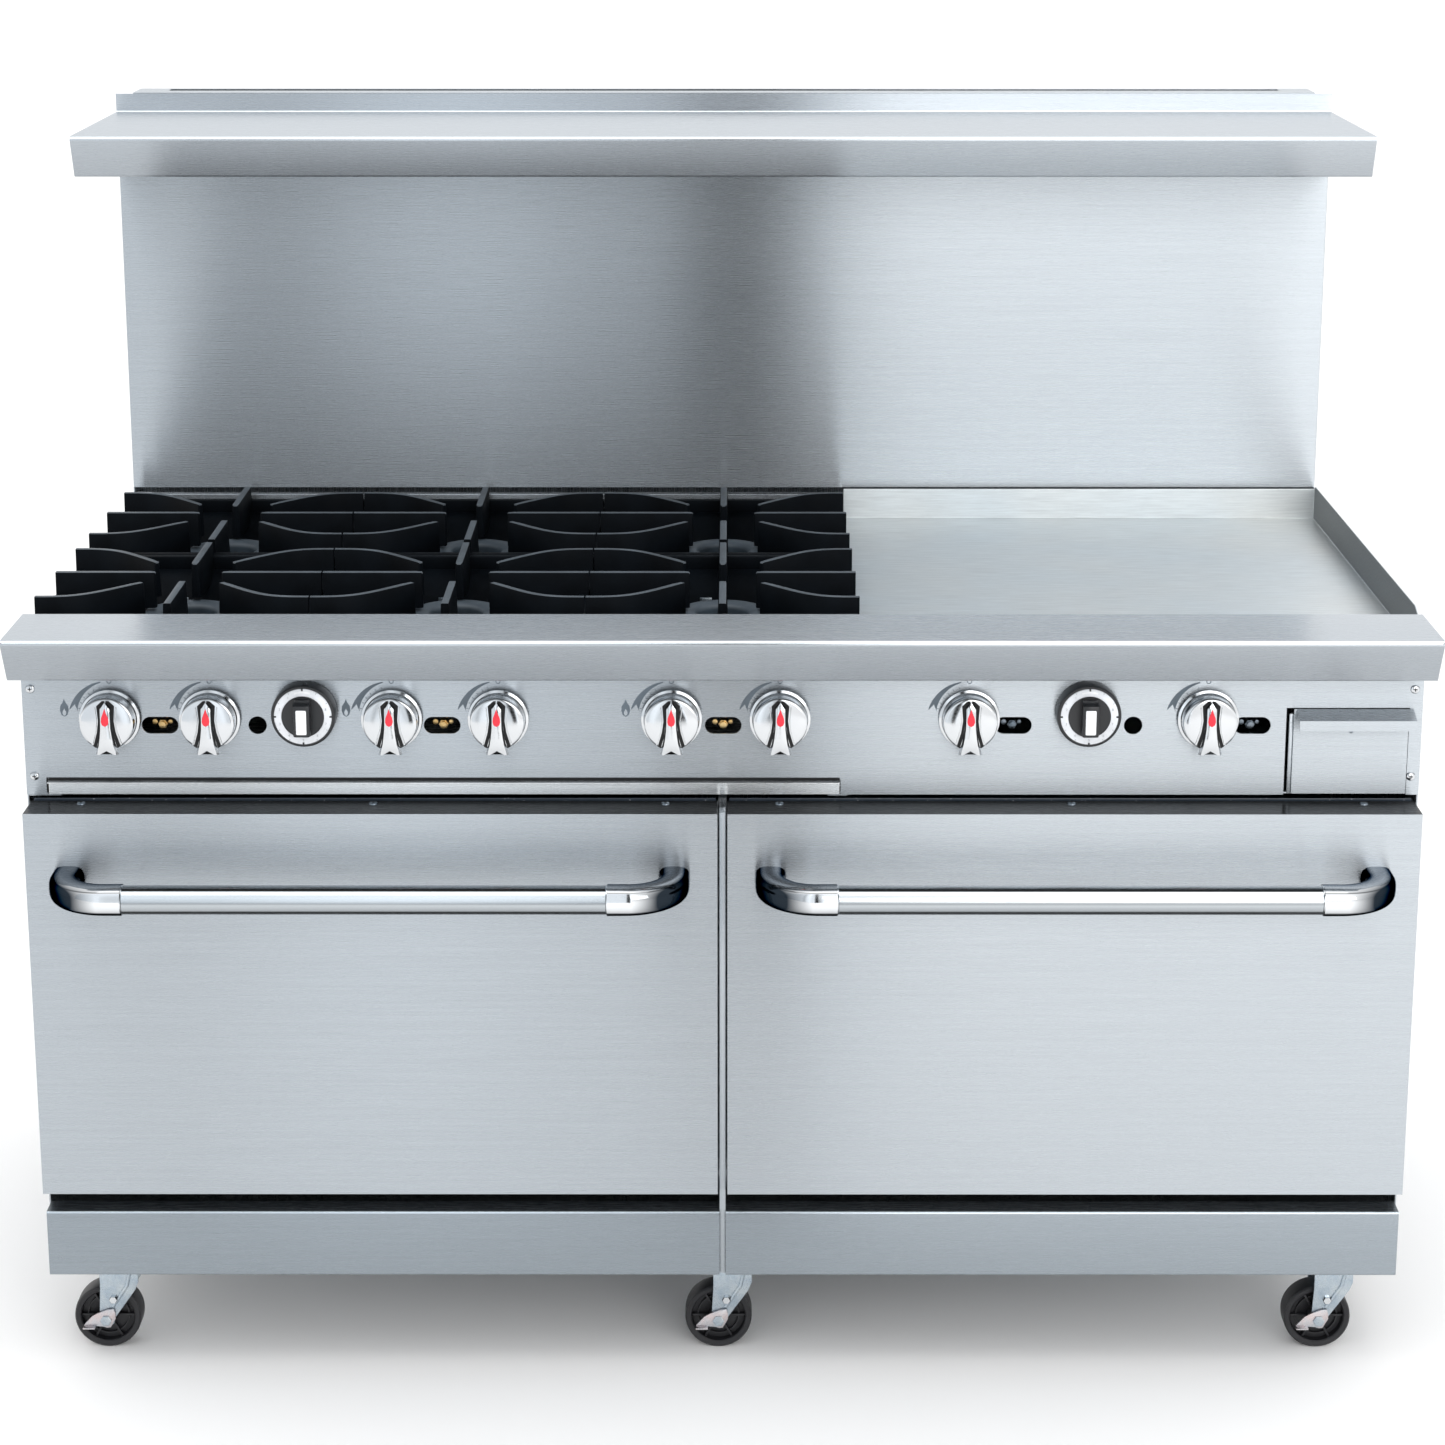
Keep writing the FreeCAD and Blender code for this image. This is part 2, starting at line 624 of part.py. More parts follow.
def open_burners():
    """Six cast ring heads, each fed by a mixing tube from the front."""
    burners = []
    for column in GRATE_COLUMNS.values():
        for row in GRATE_ROWS.values():
            x, y = "%d * grate_pitch" % column, row_y(row)
            feed = "%s + %d * venturi_offset" % (x, 1 if row else -1)
            head = rod("z", "head_radius", x, y, ("head_bottom", "head_top"))
            bore = rod("z", "head_bore", x, y, ("head_bottom + 6", "head_top + 1"))
            neck = rod("z", "venturi_radius", x, y, ("venturi_height", "head_bottom + 3"))
            link_x = (x, feed) if row else (feed, x)
            link = rod("x", "venturi_radius - 1", link_x, y, "venturi_height")
            tube = rod("y", "venturi_radius", feed,
                       (back("manifold_setback + 25"), y), "venturi_height")
            burners.append(cut(joined(head, neck, link, tube), bore))
    node("open_burners", grouped(*burners))


def tube_burners():
    """Straight burners: two under the griddle and one under each oven."""
    tubes = [
        rod("y", "griddle_tube_radius", x,
            (back("manifold_setback + 25"), back("griddle_back - 60")), "griddle_tube_height")
        for x in GRIDDLE_KNOBS
    ]
    tubes += [
        rod("y", "oven_tube_radius", oven_middle(side),
            (back("frame_setback + 30"), back("oven_tube_back")), "oven_tube_height")
        for side in DOOR_SIDES.values()
    ]
    node("tube_burners", grouped(*tubes))


def finger(points, width, low, high):
    """An upright rib along a middle line, with square ends."""
    solid = None
    for (x1, y1), (x2, y2) in zip(points, points[1:]):
        length = math.hypot(x2 - x1, y2 - y1)
        across = Vector(-(y2 - y1) / length, (x2 - x1) / length, 0) * (width / 2)
        start, end = Vector(x1, y1, low), Vector(x2, y2, low)
        rib = plate_shape([start + across, start - across, end - across, end + across],
                          Vector(0, 0, high - low))
        knuckle = Part.makeCylinder(width / 2, high - low, end)
        rib = rib.fuse(knuckle) if (x2, y2) != points[-1] else rib
        solid = rib if solid is None else solid.fuse(rib)
    return solid


def grate(name, column, row):
    """A cast top grate: frame, aeration bowl with a round opening, and eight fingers."""
    half, bar, width = size.grate_half, size.grate_bar, size.finger_width
    low, rim, top = size.grate_frame, size.grate_rim, size.grate_top

    def block(x0, x1, y0, y1, z0, z1):
        return Part.makeBox(x1 - x0, y1 - y0, z1 - z0, Vector(x0, y0, z0))

    side_top = size.grate_side
    frame = [
        block(-half, half, half - bar, half, low, rim),
        block(-half, half, -half, bar - half, low, rim),
        block(-half, bar - half, -half, half, low, side_top),
        block(half - bar, half, -half, half, low, side_top),
    ]
    floor, thick = size.bowl_low, size.bowl_metal
    bowl_half, bowl_rim, mouth = half - bar + 1, low + 6, size.bowl_radius + 16
    outside = Part.makeLoft([
        square_wire(bowl_half, bowl_rim), square_wire(mouth, floor)], True, True)
    inside = Part.makeLoft([
        square_wire(bowl_half - 2 * thick, bowl_rim + 0.01),
        square_wire(mouth - 2 - thick, floor + thick)], True, True)
    opening = Part.makeCylinder(size.bowl_radius, 60, Vector(0, 0, floor - 20))
    bowl = outside.cut(inside).cut(opening)
    tip = size.finger_tip
    curved = [(half, 113), (110, 112), (88, 98), (45, 48)]
    fingers = []
    for sign in (-1, 1):
        fingers.append(finger([(sign * half, 0), (sign * tip, 0)], width, low, top))
        fingers.append(finger([(0, sign * half), (0, sign * (tip + 3))], width, low, top))
        for way in (-1, 1):
            line = [(sign * px, way * py) for px, py in curved]
            fingers.append(finger(line, width - 1, low, top))
    solid = frame[0].fuse(frame[1:] + [bowl] + fingers).removeSplitter()
    feature = drawn(solid)
    feature.Placement.Base = Vector(column * size.grate_pitch,
                                    size.front + size.grate_row + row * size.grate_pitch, 0)
    node(name, feature)


def square_wire(half, z):
    """A closed square outline, level, centred on the axis."""
    corners = [(-half, -half), (half, -half), (half, half), (-half, half), (-half, -half)]
    return Part.makePolygon([Vector(x, y, z) for x, y in corners])


def burner_box():
    """Rails that carry the grates, the stepped rear trim, and runners for tray and drawer."""
    wall = "-half_width + plate"
    end = "griddle_left - 1"
    bed = "griddle_top - griddle_metal - 2"
    rail_z = ("grate_frame - plate", "grate_frame - 0.3")
    middle = "grate_row + grate_pitch / 2"
    rear_y = (back("griddle_back"), back("griddle_back + plate"))
    step_y = (back("griddle_back + plate"), back("riser_setback"))
    trim = [
        box(("-half_width", wall), (back("ledge_depth"), back("griddle_back")),
            (bed, "grate_frame - 0.3")),
        box((wall, end), (back("ledge_depth"), back("ledge_depth + 22")), rail_z),
        box((wall, end), (back(middle + " - 7"), back(middle + " + 7")), rail_z),
        box((wall, end), (back("griddle_back - 25"), back("griddle_back")), rail_z),
        box(("-half_width", end), rear_y, (bed, "riser_bottom - 6")),
        box(("-half_width", end), step_y, ("riser_bottom - 8", "riser_bottom - 6")),
        box(("-half_width", wall), step_y, (bed, "riser_bottom - 8")),
    ]
    depth = (back("panel_setback + plate"), back("body_back - skin"))
    tray_z = ("panel_bottom - 2.4", "panel_bottom - 0.4")
    drawer_z = ("drawer_bottom - 1.5", "drawer_bottom + 0.5")
    runners = [
        box(("-half_width + skin", "tray_left + 14"), depth, tray_z),
        box(("tray_right - 14", "tray_right + 8"), depth, tray_z),
        box(("drawer_left - 8", "drawer_left + 12"), depth, drawer_z),
        box(("drawer_right - 12", "half_width - skin"), depth, drawer_z),
    ]
    node("burner_box", grouped(*trim, *runners))


# ---------------------------------------------------------------------------------- griddle
def griddle():
    """A thick plate with a drain slot at the front right, and splashes welded on."""
    side = "half_width - plate"
    plate_block = box(("griddle_left", side), (back("ledge_depth"), back("griddle_back")),
                      ("griddle_top - griddle_metal", "griddle_top"))
    rear = box(("griddle_left", "half_width"),
               (back("griddle_back"), back("griddle_back + plate")),
               ("griddle_top - griddle_metal", "splash_top"))
    outline = [
        ("front + ledge_depth", "griddle_top - griddle_metal"),
        ("front + griddle_back", "griddle_top - griddle_metal"),
        ("front + griddle_back", "splash_top + 3"),
        ("front + ledge_depth + 30", "splash_top + 3"),
        ("front + ledge_depth", "griddle_top + 30"),
    ]
    right = sketch_pad("GriddleSide", outline, side, "half_width")
    drain = box(("half_width - plate - drain_width - 20", "half_width - plate - 20"),
                (back("ledge_depth + 3"), back("ledge_depth + 15")),
                ("griddle_top - griddle_metal - 1", "griddle_top + 1"))
    node("griddle", cut(joined(plate_block, rear, right), drain))


def drip_tray():
    """A wide shallow pan that slides out under the knobs, with a lip to pull."""
    span = ("tray_left + 1", "tray_right - 1")
    depth = (back("panel_setback - 1"), back("panel_setback + tray_depth"))
    height = ("panel_bottom + 0.1", "tray_top - 1")
    pan = box(span, depth, height)
    hollow = box((span[0] + " + skin", span[1] + " - skin"),
                 (depth[0] + " + skin", depth[1] + " - skin"),
                 (height[0] + " + skin", "tray_top + 5"))
    lip = box(span, (back("panel_setback - 9"), back("panel_setback - 1")),
              ("tray_top - 1 - skin", "tray_top - 1"))
    node("drip_tray", joined(cut(pan, hollow), lip))


def grease_drawer():
    """A deep drawer under the griddle's drain, with a full-width folded pull."""
    face = box(("drawer_left", "drawer_right"),
               (back("panel_setback - 2"), back("panel_setback")),
               ("drawer_bottom", "drawer_top"))
    key_hole = rod("y", "key_radius", "(drawer_left + drawer_right) / 2",
                   (back("panel_setback - 9"), back("panel_setback + 1")), "key_height")
    span = ("drawer_left + 2", "drawer_right - 2")
    depth = (back("panel_setback"), back("panel_setback + drawer_depth"))
    height = ("drawer_bottom + 1", "drawer_top - 4")
    tub = cut(box(span, depth, height),
              box((span[0] + " + skin", span[1] + " - skin"),
                  (depth[0] + " + skin", depth[1] + " - skin"),
                  (height[0] + " + skin", height[1] + " + 5")))
    lip = "front + panel_setback - pull_reach"
    outline = [
        ("front + panel_setback - 2", "drawer_top"),
        (lip, "drawer_top - pull_slope"),
        (lip, "drawer_top - pull_drop"),
        (lip + " + skin", "drawer_top - pull_drop"),
        (lip + " + skin", "drawer_top - pull_slope - skin"),
        ("front + panel_setback - 2", "drawer_top - skin"),
    ]
    pull = sketch_pad("DrawerPull", outline, "drawer_left + 3", "drawer_right + 5")
    node("grease_drawer", joined(cut(joined(face, tub), key_hole), pull))


# ------------------------------------------------------------------------- riser and shelf
def flue_riser():
    """The stainless backsplash and the flue duct behind it, open at the top and bottom."""
    front_sheet = box(("-half_width", "half_width"),
                      (back("riser_setback"), back("riser_setback + skin")),
                      ("riser_bottom", "shelf_top - plate"))
    duct = box(("-flue_half", "flue_half"),
               (back("riser_setback + skin"), back("total_back")),
               ("riser_bottom", "total_height"))
    hollow = box(("-flue_half + skin", "flue_half - skin"),
                 (back("riser_setback + 2 * skin"), back("total_back - skin")),
                 ("riser_bottom - 5", "total_height - skin"))
    throat = box(("-flue_half + 40", "flue_half - 40"),
                 (back("flue_throat"), back("total_back - 5")),
                 ("total_height - 10", "total_height + 5"))
    overhang = box(("-flue_half", "flue_half"), (back("body_back"), back("total_back")),
                   ("riser_bottom", "riser_bottom + skin"))
    node("flue_riser", joined(front_sheet, cut(duct, hollow, throat), overhang))


def high_shelf():
    """A folded shelf: slanting front lip, flat top, rear upstand and shallow end gussets."""
    outline = [
        ("front + shelf_front", "shelf_top"),
        ("front + shelf_lip_setback", "shelf_lip_bottom"),
        ("front + shelf_lip_setback + 14", "shelf_lip_bottom"),
        ("front + shelf_lip_setback + 14", "shelf_lip_bottom + plate"),
        ("front + shelf_lip_setback + 1.2", "shelf_lip_bottom + plate"),
        ("front + shelf_front + plate + 0.8", "shelf_top - plate"),
        ("front + riser_setback", "shelf_top - plate"),
        ("front + riser_setback", "upstand_top"),
        ("front + riser_setback - plate", "upstand_top"),
        ("front + riser_setback - plate", "shelf_top"),
    ]
    fold = sketch_pad("ShelfFold", outline, "-half_width", "half_width")
    end_outline = [
        ("front + shelf_front", "shelf_top"),
        ("front + shelf_lip_setback", "shelf_lip_bottom"),
        ("front + riser_setback", "shelf_lip_bottom - 25"),
        ("front + riser_setback", "shelf_top"),
    ]
    left = sketch_pad("ShelfLeftEnd", end_outline, "-half_width", "-half_width + plate")
    right = sketch_pad("ShelfRightEnd", end_outline, "half_width - plate", "half_width")
    node("high_shelf", joined(fold, left, right))


# ---------------------------------------------------------------------------------- casters
def caster_places():
    """Name and swivel-axis formulas of each caster."""
    for row, setback in (("front", "caster_setback"), ("rear", "caster_rear")):
        for column in CASTER_COLUMNS:
            yield "%s_%s" % (row, column), "caster_" + column, back(setback)


def caster_plates():
    """Mounting plates bolted under the frame, each with its kingpin."""
    plates = []
    for _, x, y in caster_places():
        top = "base_bottom"
        under = "base_bottom - plate_metal"
        mount_plate = box(("%s - caster_plate_x / 2" % x, "%s + caster_plate_x / 2" % x),
                          ("%s - caster_plate_y / 2" % y, "%s + caster_plate_y / 2" % y),
                          (under, top))
        race = rod("z", "race_radius", x, y, (under + " - 3", under))
        kingpin = rod("z", "kingpin_radius", x, y, ("fork_top - 7", under))
        nut = rod("z", "kingpin_radius + 4", x, y, ("fork_top - 7", "fork_top - 0.4"))
        bolts = [
            rod("z", "bolt_radius + 2.5", "%s + %d * bolt_span_x / 2" % (x, i),
                "%s + %d * bolt_span_y / 2" % (y, j), (under + " - 4.5", under))
            for i in (-1, 1) for j in (-1, 1)
        ]
        plates.append(joined(mount_plate, race, kingpin, nut, *bolts))
    node("caster_plates", grouped(*plates))


def caster_fork(name, x, y):
    """A swivel fork: a round race over two tapering legs, with the axle across them."""
    half_gap = size.wheel_width / 2 + size.fork_space
    metal, top = size.fork_metal, size.fork_top
    axle_x, axle_z = x - size.caster_trail, size.wheel_radius
    crown = Part.makeCylinder(size.race_radius, metal, Vector(x, y, top))
    crown = crown.fuse(Part.makeBox(44, 2 * (half_gap + metal), metal,
                                    Vector(x - 22, y - half_gap - metal, top)))
    outline = [(22, top + metal), (22, 82), (-6, 40), (-10, 29), (-22, 29), (-24, 40),
               (-22, 82), (-22, top + metal)]
    legs = [
        plate_shape([Vector(x + dx, start, z) for dx, z in outline], Vector(0, metal, 0))
        for start in (y - half_gap - metal, y + half_gap)
    ]
    towards_front, outside = Vector(0, -1, 0), y - half_gap - metal
    axle = Part.makeCylinder(size.axle_radius, 2 * (half_gap + metal) + 6,
                             Vector(axle_x, y + half_gap + metal, axle_z), towards_front)
    nut = Part.makeCylinder(size.axle_radius + 3, 2.4, Vector(axle_x, outside - 3.6, axle_z),
                            towards_front)
    bolt = Part.makeCylinder(5, 3.6, Vector(x - 7, outside, 63), towards_front)
    bore = Part.makeCylinder(size.kingpin_radius + 0.1, 20, Vector(x, y, top - 5))
    solid = crown.fuse(legs + [axle, nut, bolt]).cut(bore).removeSplitter()
    node(name, drawn(solid))


def caster_wheel(name, x, y):
    """A moulded wheel with a recessed web and a hub."""
    centre = Vector(x - size.caster_trail, y - size.wheel_width / 2, size.wheel_radius)
    towards_back = Vector(0, 1, 0)
    tread = Part.makeCylinder(size.wheel_radius, size.wheel_width, centre, towards_back)
    deep = size.wheel_recess
    for start in (centre - Vector(0, 1, 0), centre + Vector(0, size.wheel_width - deep, 0)):
        recess = Part.makeCylinder(size.wheel_radius - size.rim_wall, deep + 1, start,
                                   towards_back)
        recess = recess.cut(Part.makeCylinder(size.hub_radius, deep + 1, start, towards_back))
        tread = tread.cut(recess)
    hub = Part.makeCylinder(size.hub_radius, size.wheel_width + 4, centre - Vector(0, 2, 0),
                            towards_back)
    bore = Part.makeCylinder(size.axle_radius + 0.08, 60, centre - Vector(0, 15, 0),
                             towards_back)
    node(name, drawn(tread.fuse(hub).cut(bore).removeSplitter()))


def brake_lever(name, x, y):
    """A flat lever on the outside of a front fork, turning on the axle's end."""
    start = y - size.wheel_width / 2 - size.fork_space - size.fork_metal - 3.2
    axle_x, axle_z = x - size.caster_trail, size.wheel_radius
    outline = [(-26, -7), (-16, 5), (-9, 9), (9, 14), (11, 2), (5, -9), (-4, -8)]
    lever = plate_shape([Vector(axle_x + dx, start, axle_z + dz) for dx, dz in outline],
                        Vector(0, size.lever_metal, 0))
    bore = Part.makeCylinder(size.axle_radius + 0.08, 6, Vector(axle_x, start - 1, axle_z),
                             Vector(0, 1, 0))
    node(name, drawn(lever.cut(bore)))


# ----------------------------------------------------------------------------------- build
base_frame()
body_panels()
kick_plates()
control_panel()
panel_screws()
front_ledge()
gas_manifold()
gas_valves()
open_burners()
tube_burners()
burner_box()
griddle()
drip_tray()
grease_drawer()
flue_riser()
high_shelf()
caster_plates()
for side_name, side_sign in DOOR_SIDES.items():
    oven_liner("oven_liner_" + side_name, side_sign)
    oven_rack("oven_rack_" + side_name, side_sign)
    door_shell("door_shell_" + side_name, side_sign)
    door_liner("door_liner_" + side_name, side_sign)
    door_handle("door_handle_" + side_name, side_sign)
    door_screws("door_screws_" + side_name, side_sign)
for number, knob_x in enumerate(BURNER_KNOBS, start=1):
    knob("burner_knob_%d" % number, knob_x)
for number, knob_x in enumerate(GRIDDLE_KNOBS, start=1):
    knob("griddle_knob_%d" % number, knob_x)
for side_name, dial_x in DIALS.items():
    thermostat_dial("thermostat_dial_" + side_name, dial_x)
for row_name, row_number in GRATE_ROWS.items():
    for column_name, column_number in GRATE_COLUMNS.items():
        grate("grate_%s_%s" % (row_name, column_name), column_number, row_number)
for place, swivel_x, swivel_y in caster_places():
    fork_x = float(sheet.get(swivel_x))
    fork_y = size.front + (size.caster_setback if "front" in place else size.caster_rear)
    caster_fork("caster_fork_" + place, fork_x, fork_y)
    caster_wheel("caster_wheel_" + place, fork_x, fork_y)
    if "front" in place:
        brake_lever("brake_lever_" + place.split("_")[1], fork_x, fork_y)

doc.recompute()

# ------------------------------------------------------------------------- check and write
failed = [item.Name for item in doc.Objects if {"Invalid", "Error"} & set(item.State)]
if failed:
    raise SystemExit("failed objects: %s" % failed)
for name, piece in nodes.items():
    if piece.Shape.isNull() or not piece.Shape.isValid() or not piece.Shape.Solids:
        raise SystemExit("bad shape: " + name)

os.makedirs("parts", exist_ok=True)
for name, piece in nodes.items():
    piece.Shape.exportStep("parts/%s.step" % name)
    bounds = piece.Shape.BoundBox
    print("%-26s %2d solids  x %7.1f %7.1f  y %7.1f %7.1f  z %7.1f %7.1f  %10.0f mm3" % (
        name, len(piece.Shape.Solids), bounds.XMin, bounds.XMax, bounds.YMin, bounds.YMax,
        bounds.ZMin, bounds.ZMax, piece.Shape.Volume))
print(len(nodes), "nodes")
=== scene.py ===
"""Looks of the commercial gas range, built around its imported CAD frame.

+X to the right, +Y to the back, +Z up.  Pieces take their places from the CAD nodes' boxes.
Shapes are written in millimetres, and the mesh helpers turn them into metres.
"""
from math import acos, copysign, cos, inf, pi, radians, sin, tan

import bmesh
import bpy
from mathutils import Matrix, Vector


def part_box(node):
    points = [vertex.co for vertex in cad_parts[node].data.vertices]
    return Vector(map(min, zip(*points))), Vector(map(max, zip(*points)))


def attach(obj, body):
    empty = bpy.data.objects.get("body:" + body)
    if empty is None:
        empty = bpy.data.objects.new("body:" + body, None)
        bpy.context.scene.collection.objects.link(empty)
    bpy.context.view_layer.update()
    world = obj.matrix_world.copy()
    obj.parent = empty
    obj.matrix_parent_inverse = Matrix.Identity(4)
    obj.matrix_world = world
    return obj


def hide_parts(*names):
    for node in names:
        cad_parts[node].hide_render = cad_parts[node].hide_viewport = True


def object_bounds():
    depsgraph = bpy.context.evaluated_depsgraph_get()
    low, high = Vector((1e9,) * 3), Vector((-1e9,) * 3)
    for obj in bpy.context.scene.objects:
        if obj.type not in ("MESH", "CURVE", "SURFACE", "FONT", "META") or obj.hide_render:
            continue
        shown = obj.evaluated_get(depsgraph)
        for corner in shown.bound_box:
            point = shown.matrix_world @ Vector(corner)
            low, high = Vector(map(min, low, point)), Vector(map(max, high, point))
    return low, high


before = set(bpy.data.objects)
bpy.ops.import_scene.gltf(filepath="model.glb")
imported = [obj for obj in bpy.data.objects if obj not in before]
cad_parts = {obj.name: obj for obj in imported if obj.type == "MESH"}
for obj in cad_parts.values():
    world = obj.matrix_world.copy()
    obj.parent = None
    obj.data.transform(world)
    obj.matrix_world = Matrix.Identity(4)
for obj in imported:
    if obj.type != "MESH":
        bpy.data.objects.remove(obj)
cad_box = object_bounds()

MM = 0.001
SIDES = ("left", "right")
COLUMNS = ("left", "middle", "right")
ROWS = ("front", "rear")


def box(node):
    """A CAD node's lowest and highest corners, in millimetres."""
    return [Vector(corner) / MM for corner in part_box(node)]


def middle(node):
    low, high = box(node)
    return (low + high) / 2


PANEL_Y = box("control_panel")[0].y    # the panel's front face
HALF_WIDTH = cad_box[1].x / MM
KNOB_Z = 754.5
DIAL_Z = 762
PILOT_Z = 742
GRATE_TOP = 869.5
GRATE_LOW = 828
INLET_X = -738
INLET_RADIUS = 13.35


def at(x, y, z):
    """A move, in millimetres."""
    return Matrix.Translation(Vector((x, y, z)) * MM)


def turned(degrees, axis):
    return Matrix.Rotation(radians(degrees), 4, axis)


TO_FRONT = turned(90, "X")     # a lathe part's top faces -Y
TO_BACK = turned(-90, "X")     # it faces +Y
TO_SIDE = turned(90, "Y")      # it faces +X


# ---- node helpers
def shade(colour, factor, most=inf):
    """A colour times a factor, or times one factor for each channel."""
    factors = factor if isinstance(factor, tuple) else (factor,) * 3
    return tuple(min(most, c * f) for c, f in zip(colour, factors))


class Shading:
    """A material's node tree with short ways to add and join nodes."""

    def __init__(self, name, colour, metallic=0.0, roughness=0.5):
        self.material = bpy.data.materials.new(name)
        self.material.use_nodes = True
        self.tree = self.material.node_tree
        self.shader = self.tree.nodes["Principled BSDF"]
        self.plain("Base Color", (*colour, 1))
        self.plain("Metallic", metallic)
        self.plain("Roughness", roughness)

    def plain(self, name, value):
        """The same value all over, on the shader's own socket."""
        self.shader.inputs[name].default_value = value

    def set(self, name, source):
        self.join(source, self.shader.inputs[name])

    def add(self, kind, **values):
        """A new node; keys name inputs, or properties where no input has that name."""
        made = self.tree.nodes.new("ShaderNode" + kind)
        for key, value in values.items():
            title = key.replace("_", " ")
            if title in made.inputs:
                made.inputs[title].default_value = value
            else:
                setattr(made, key, value)
        return made

    def join(self, source, target):
        self.tree.links.new(source, target)

    def object_place(self, scale=(1, 1, 1)):
        """Coordinates in metres on the object, scaled."""
        mapping = self.add("Mapping", Scale=scale)
        self.join(self.add("TexCoord").outputs["Object"], mapping.inputs["Vector"])
        return mapping.outputs["Vector"]

    def along(self, source, axis):
        """One axis of a vector."""
        split = self.add("SeparateXYZ")
        self.join(source, split.inputs["Vector"])
        return split.outputs[axis]

    def facing(self, axis):
        """How far a face looks along an axis, from -1 to 1."""
        return self.along(self.add("TexCoord").outputs["Normal"], axis)

    def noise(self, scale, stretch=(1, 1, 1), detail=4, roughness=0.5):
        made = self.add("TexNoise", Scale=scale, Detail=detail, Roughness=roughness)
        self.join(self.object_place(stretch), made.inputs["Vector"])
        return made.outputs["Fac"]

    def times(self, first, second):
        made = self.add("Math", operation="MULTIPLY")
        self.join(first, made.inputs[0])
        self.join(second, made.inputs[1])
        return made.outputs["Value"]

    def ramp(self, source, stops):
        """A colour ramp; each stop is a place and a colour."""
        made = self.add("ValToRGB")
        elements = made.color_ramp.elements
        while len(elements) < len(stops):
            elements.new(0.5)
        for element, (place, colour) in zip(elements, stops):
            element.position = place
            element.color = (*colour, 1)
        self.join(source, made.inputs["Fac"])
        return made.outputs["Color"]

    def span(self, source, low, high, low_in=0.3, high_in=0.7):
        """A number moved from one span to another."""
        made = self.add("MapRange", From_Min=low_in, From_Max=high_in, To_Min=low,
                        To_Max=high)
        self.join(source, made.inputs["Value"])
        return made.outputs["Result"]

    def mix(self, factor, first, second):
        """Two colours, sockets or plain, mixed by a socket."""
        made = self.add("Mix", data_type="RGBA")
        self.join(factor, made.inputs["Factor"])
        for socket, colour in ((made.inputs[6], first), (made.inputs[7], second)):
            if isinstance(colour, tuple):
                socket.default_value = (*colour, 1)
            else:
                self.join(colour, socket)
        return made.outputs[2]

    def finished(self, tone, roughness, *bumps):
        """The material with its colour, roughness and bumps joined."""
        self.set("Base Color", tone)
        self.set("Roughness", roughness)
        for bump in bumps:
            self.bump(*bump)
        return self.material

    def bump(self, height, strength, distance):
        """A bump on the shader, over any bump that is there already."""
        made = self.add("Bump", Strength=strength, Distance=distance)
        self.join(height, made.inputs["Height"])
        normal = self.shader.inputs["Normal"]
        if normal.is_linked:
            self.join(normal.links[0].from_socket, made.inputs["Normal"])
        self.join(made.outputs["Normal"], normal)


# ---- materials
def brushed_steel(name, colour, along, roughness=0.26, up=1.0, down=1.0):
    """Stainless sheet: fine scratches along one axis, soft clouding, stretched highlights.
    Faces that look up or down can take their own painted tone, painted shade below 1 and painted
    light above it, and then bends get a painted highlight."""
    made = Shading(name, colour, metallic=0.86, roughness=roughness)
    stretch = tuple(0.015 if axis == along else 1.0 for axis in "XYZ")
    lines = made.noise(1500, stretch, detail=3, roughness=0.7)
    broad = made.noise(420, stretch, roughness=0.6)
    clouds = made.noise(1.6, detail=2)
    streaks = made.mix(made.span(broad, 0, 1, 0.25, 0.75), shade(colour, 0.95),
                       shade(colour, 1.04, 1.0))
    tone = made.mix(made.span(clouds, 0.0, 0.5, 0.35, 0.7), streaks, colour)
    # Painted shade and light on faces that look down or up, and a painted highlight on the bends
    # between them.
    if (up, down) != (1.0, 1.0):
        facing = made.facing("Z")
        bend = made.times(made.span(facing, 0, 1, 0.2, 0.4), made.span(facing, 1, 0, 0.8, 0.92))
        tone = made.mix(made.span(facing, 1, 0, -0.45, -0.2), tone, shade(colour, down))
        tone = made.mix(bend, tone, shade(colour, 1.9, 1.0))
        tone = made.mix(made.span(facing, 0, 1, 0.85, 0.95), tone, shade(colour, up))
    made.plain("Anisotropic", 1.0)
    made.plain("Anisotropic Rotation", 0.25)
    made.set("Tangent", made.add("CombineXYZ", **{along: 1.0}).outputs["Vector"])
    return made.finished(tone, made.span(lines, roughness - 0.02, roughness + 0.03),
                         (lines, 0.02, 0.0001), (clouds, 0.03, 0.003))


def cast_iron(name, colour, top_colour, roughness=0.5, wear_and_highlight_from=0.0):
    """Black cast iron: a sandy skin, and paler on the faces that look up, from a height in
    metres: partly wear from pans, partly a painted highlight."""
    made = Shading(name, colour, roughness=roughness)
    sand = made.noise(1300, detail=5, roughness=0.65)
    lumps = made.noise(160, detail=3)
    stains = made.noise(22)
    skin = made.ramp(stains, [(0.3, shade(colour, 0.7)), (0.7, shade(colour, 1.6))])
    height = made.along(made.object_place(), "Z")
    # Tops paler from this height up: partly wear, partly a painted highlight.
    high = made.span(height, 0, 1, wear_and_highlight_from - 0.003, wear_and_highlight_from)
    facing_up = made.times(made.span(made.facing("Z"), 0, 1, 0.35, 0.8), high)
    wear_and_highlight = made.times(facing_up, made.span(stains, 0.6, 1.0))
    made.set("Specular IOR Level", made.span(facing_up, 0.05, 0.5, 0, 1))
    return made.finished(made.mix(wear_and_highlight, skin, top_colour),
                         made.span(sand, roughness - 0.08, roughness + 0.12),
                         (sand, 0.22, 0.0005), (lumps, 0.10, 0.0012))


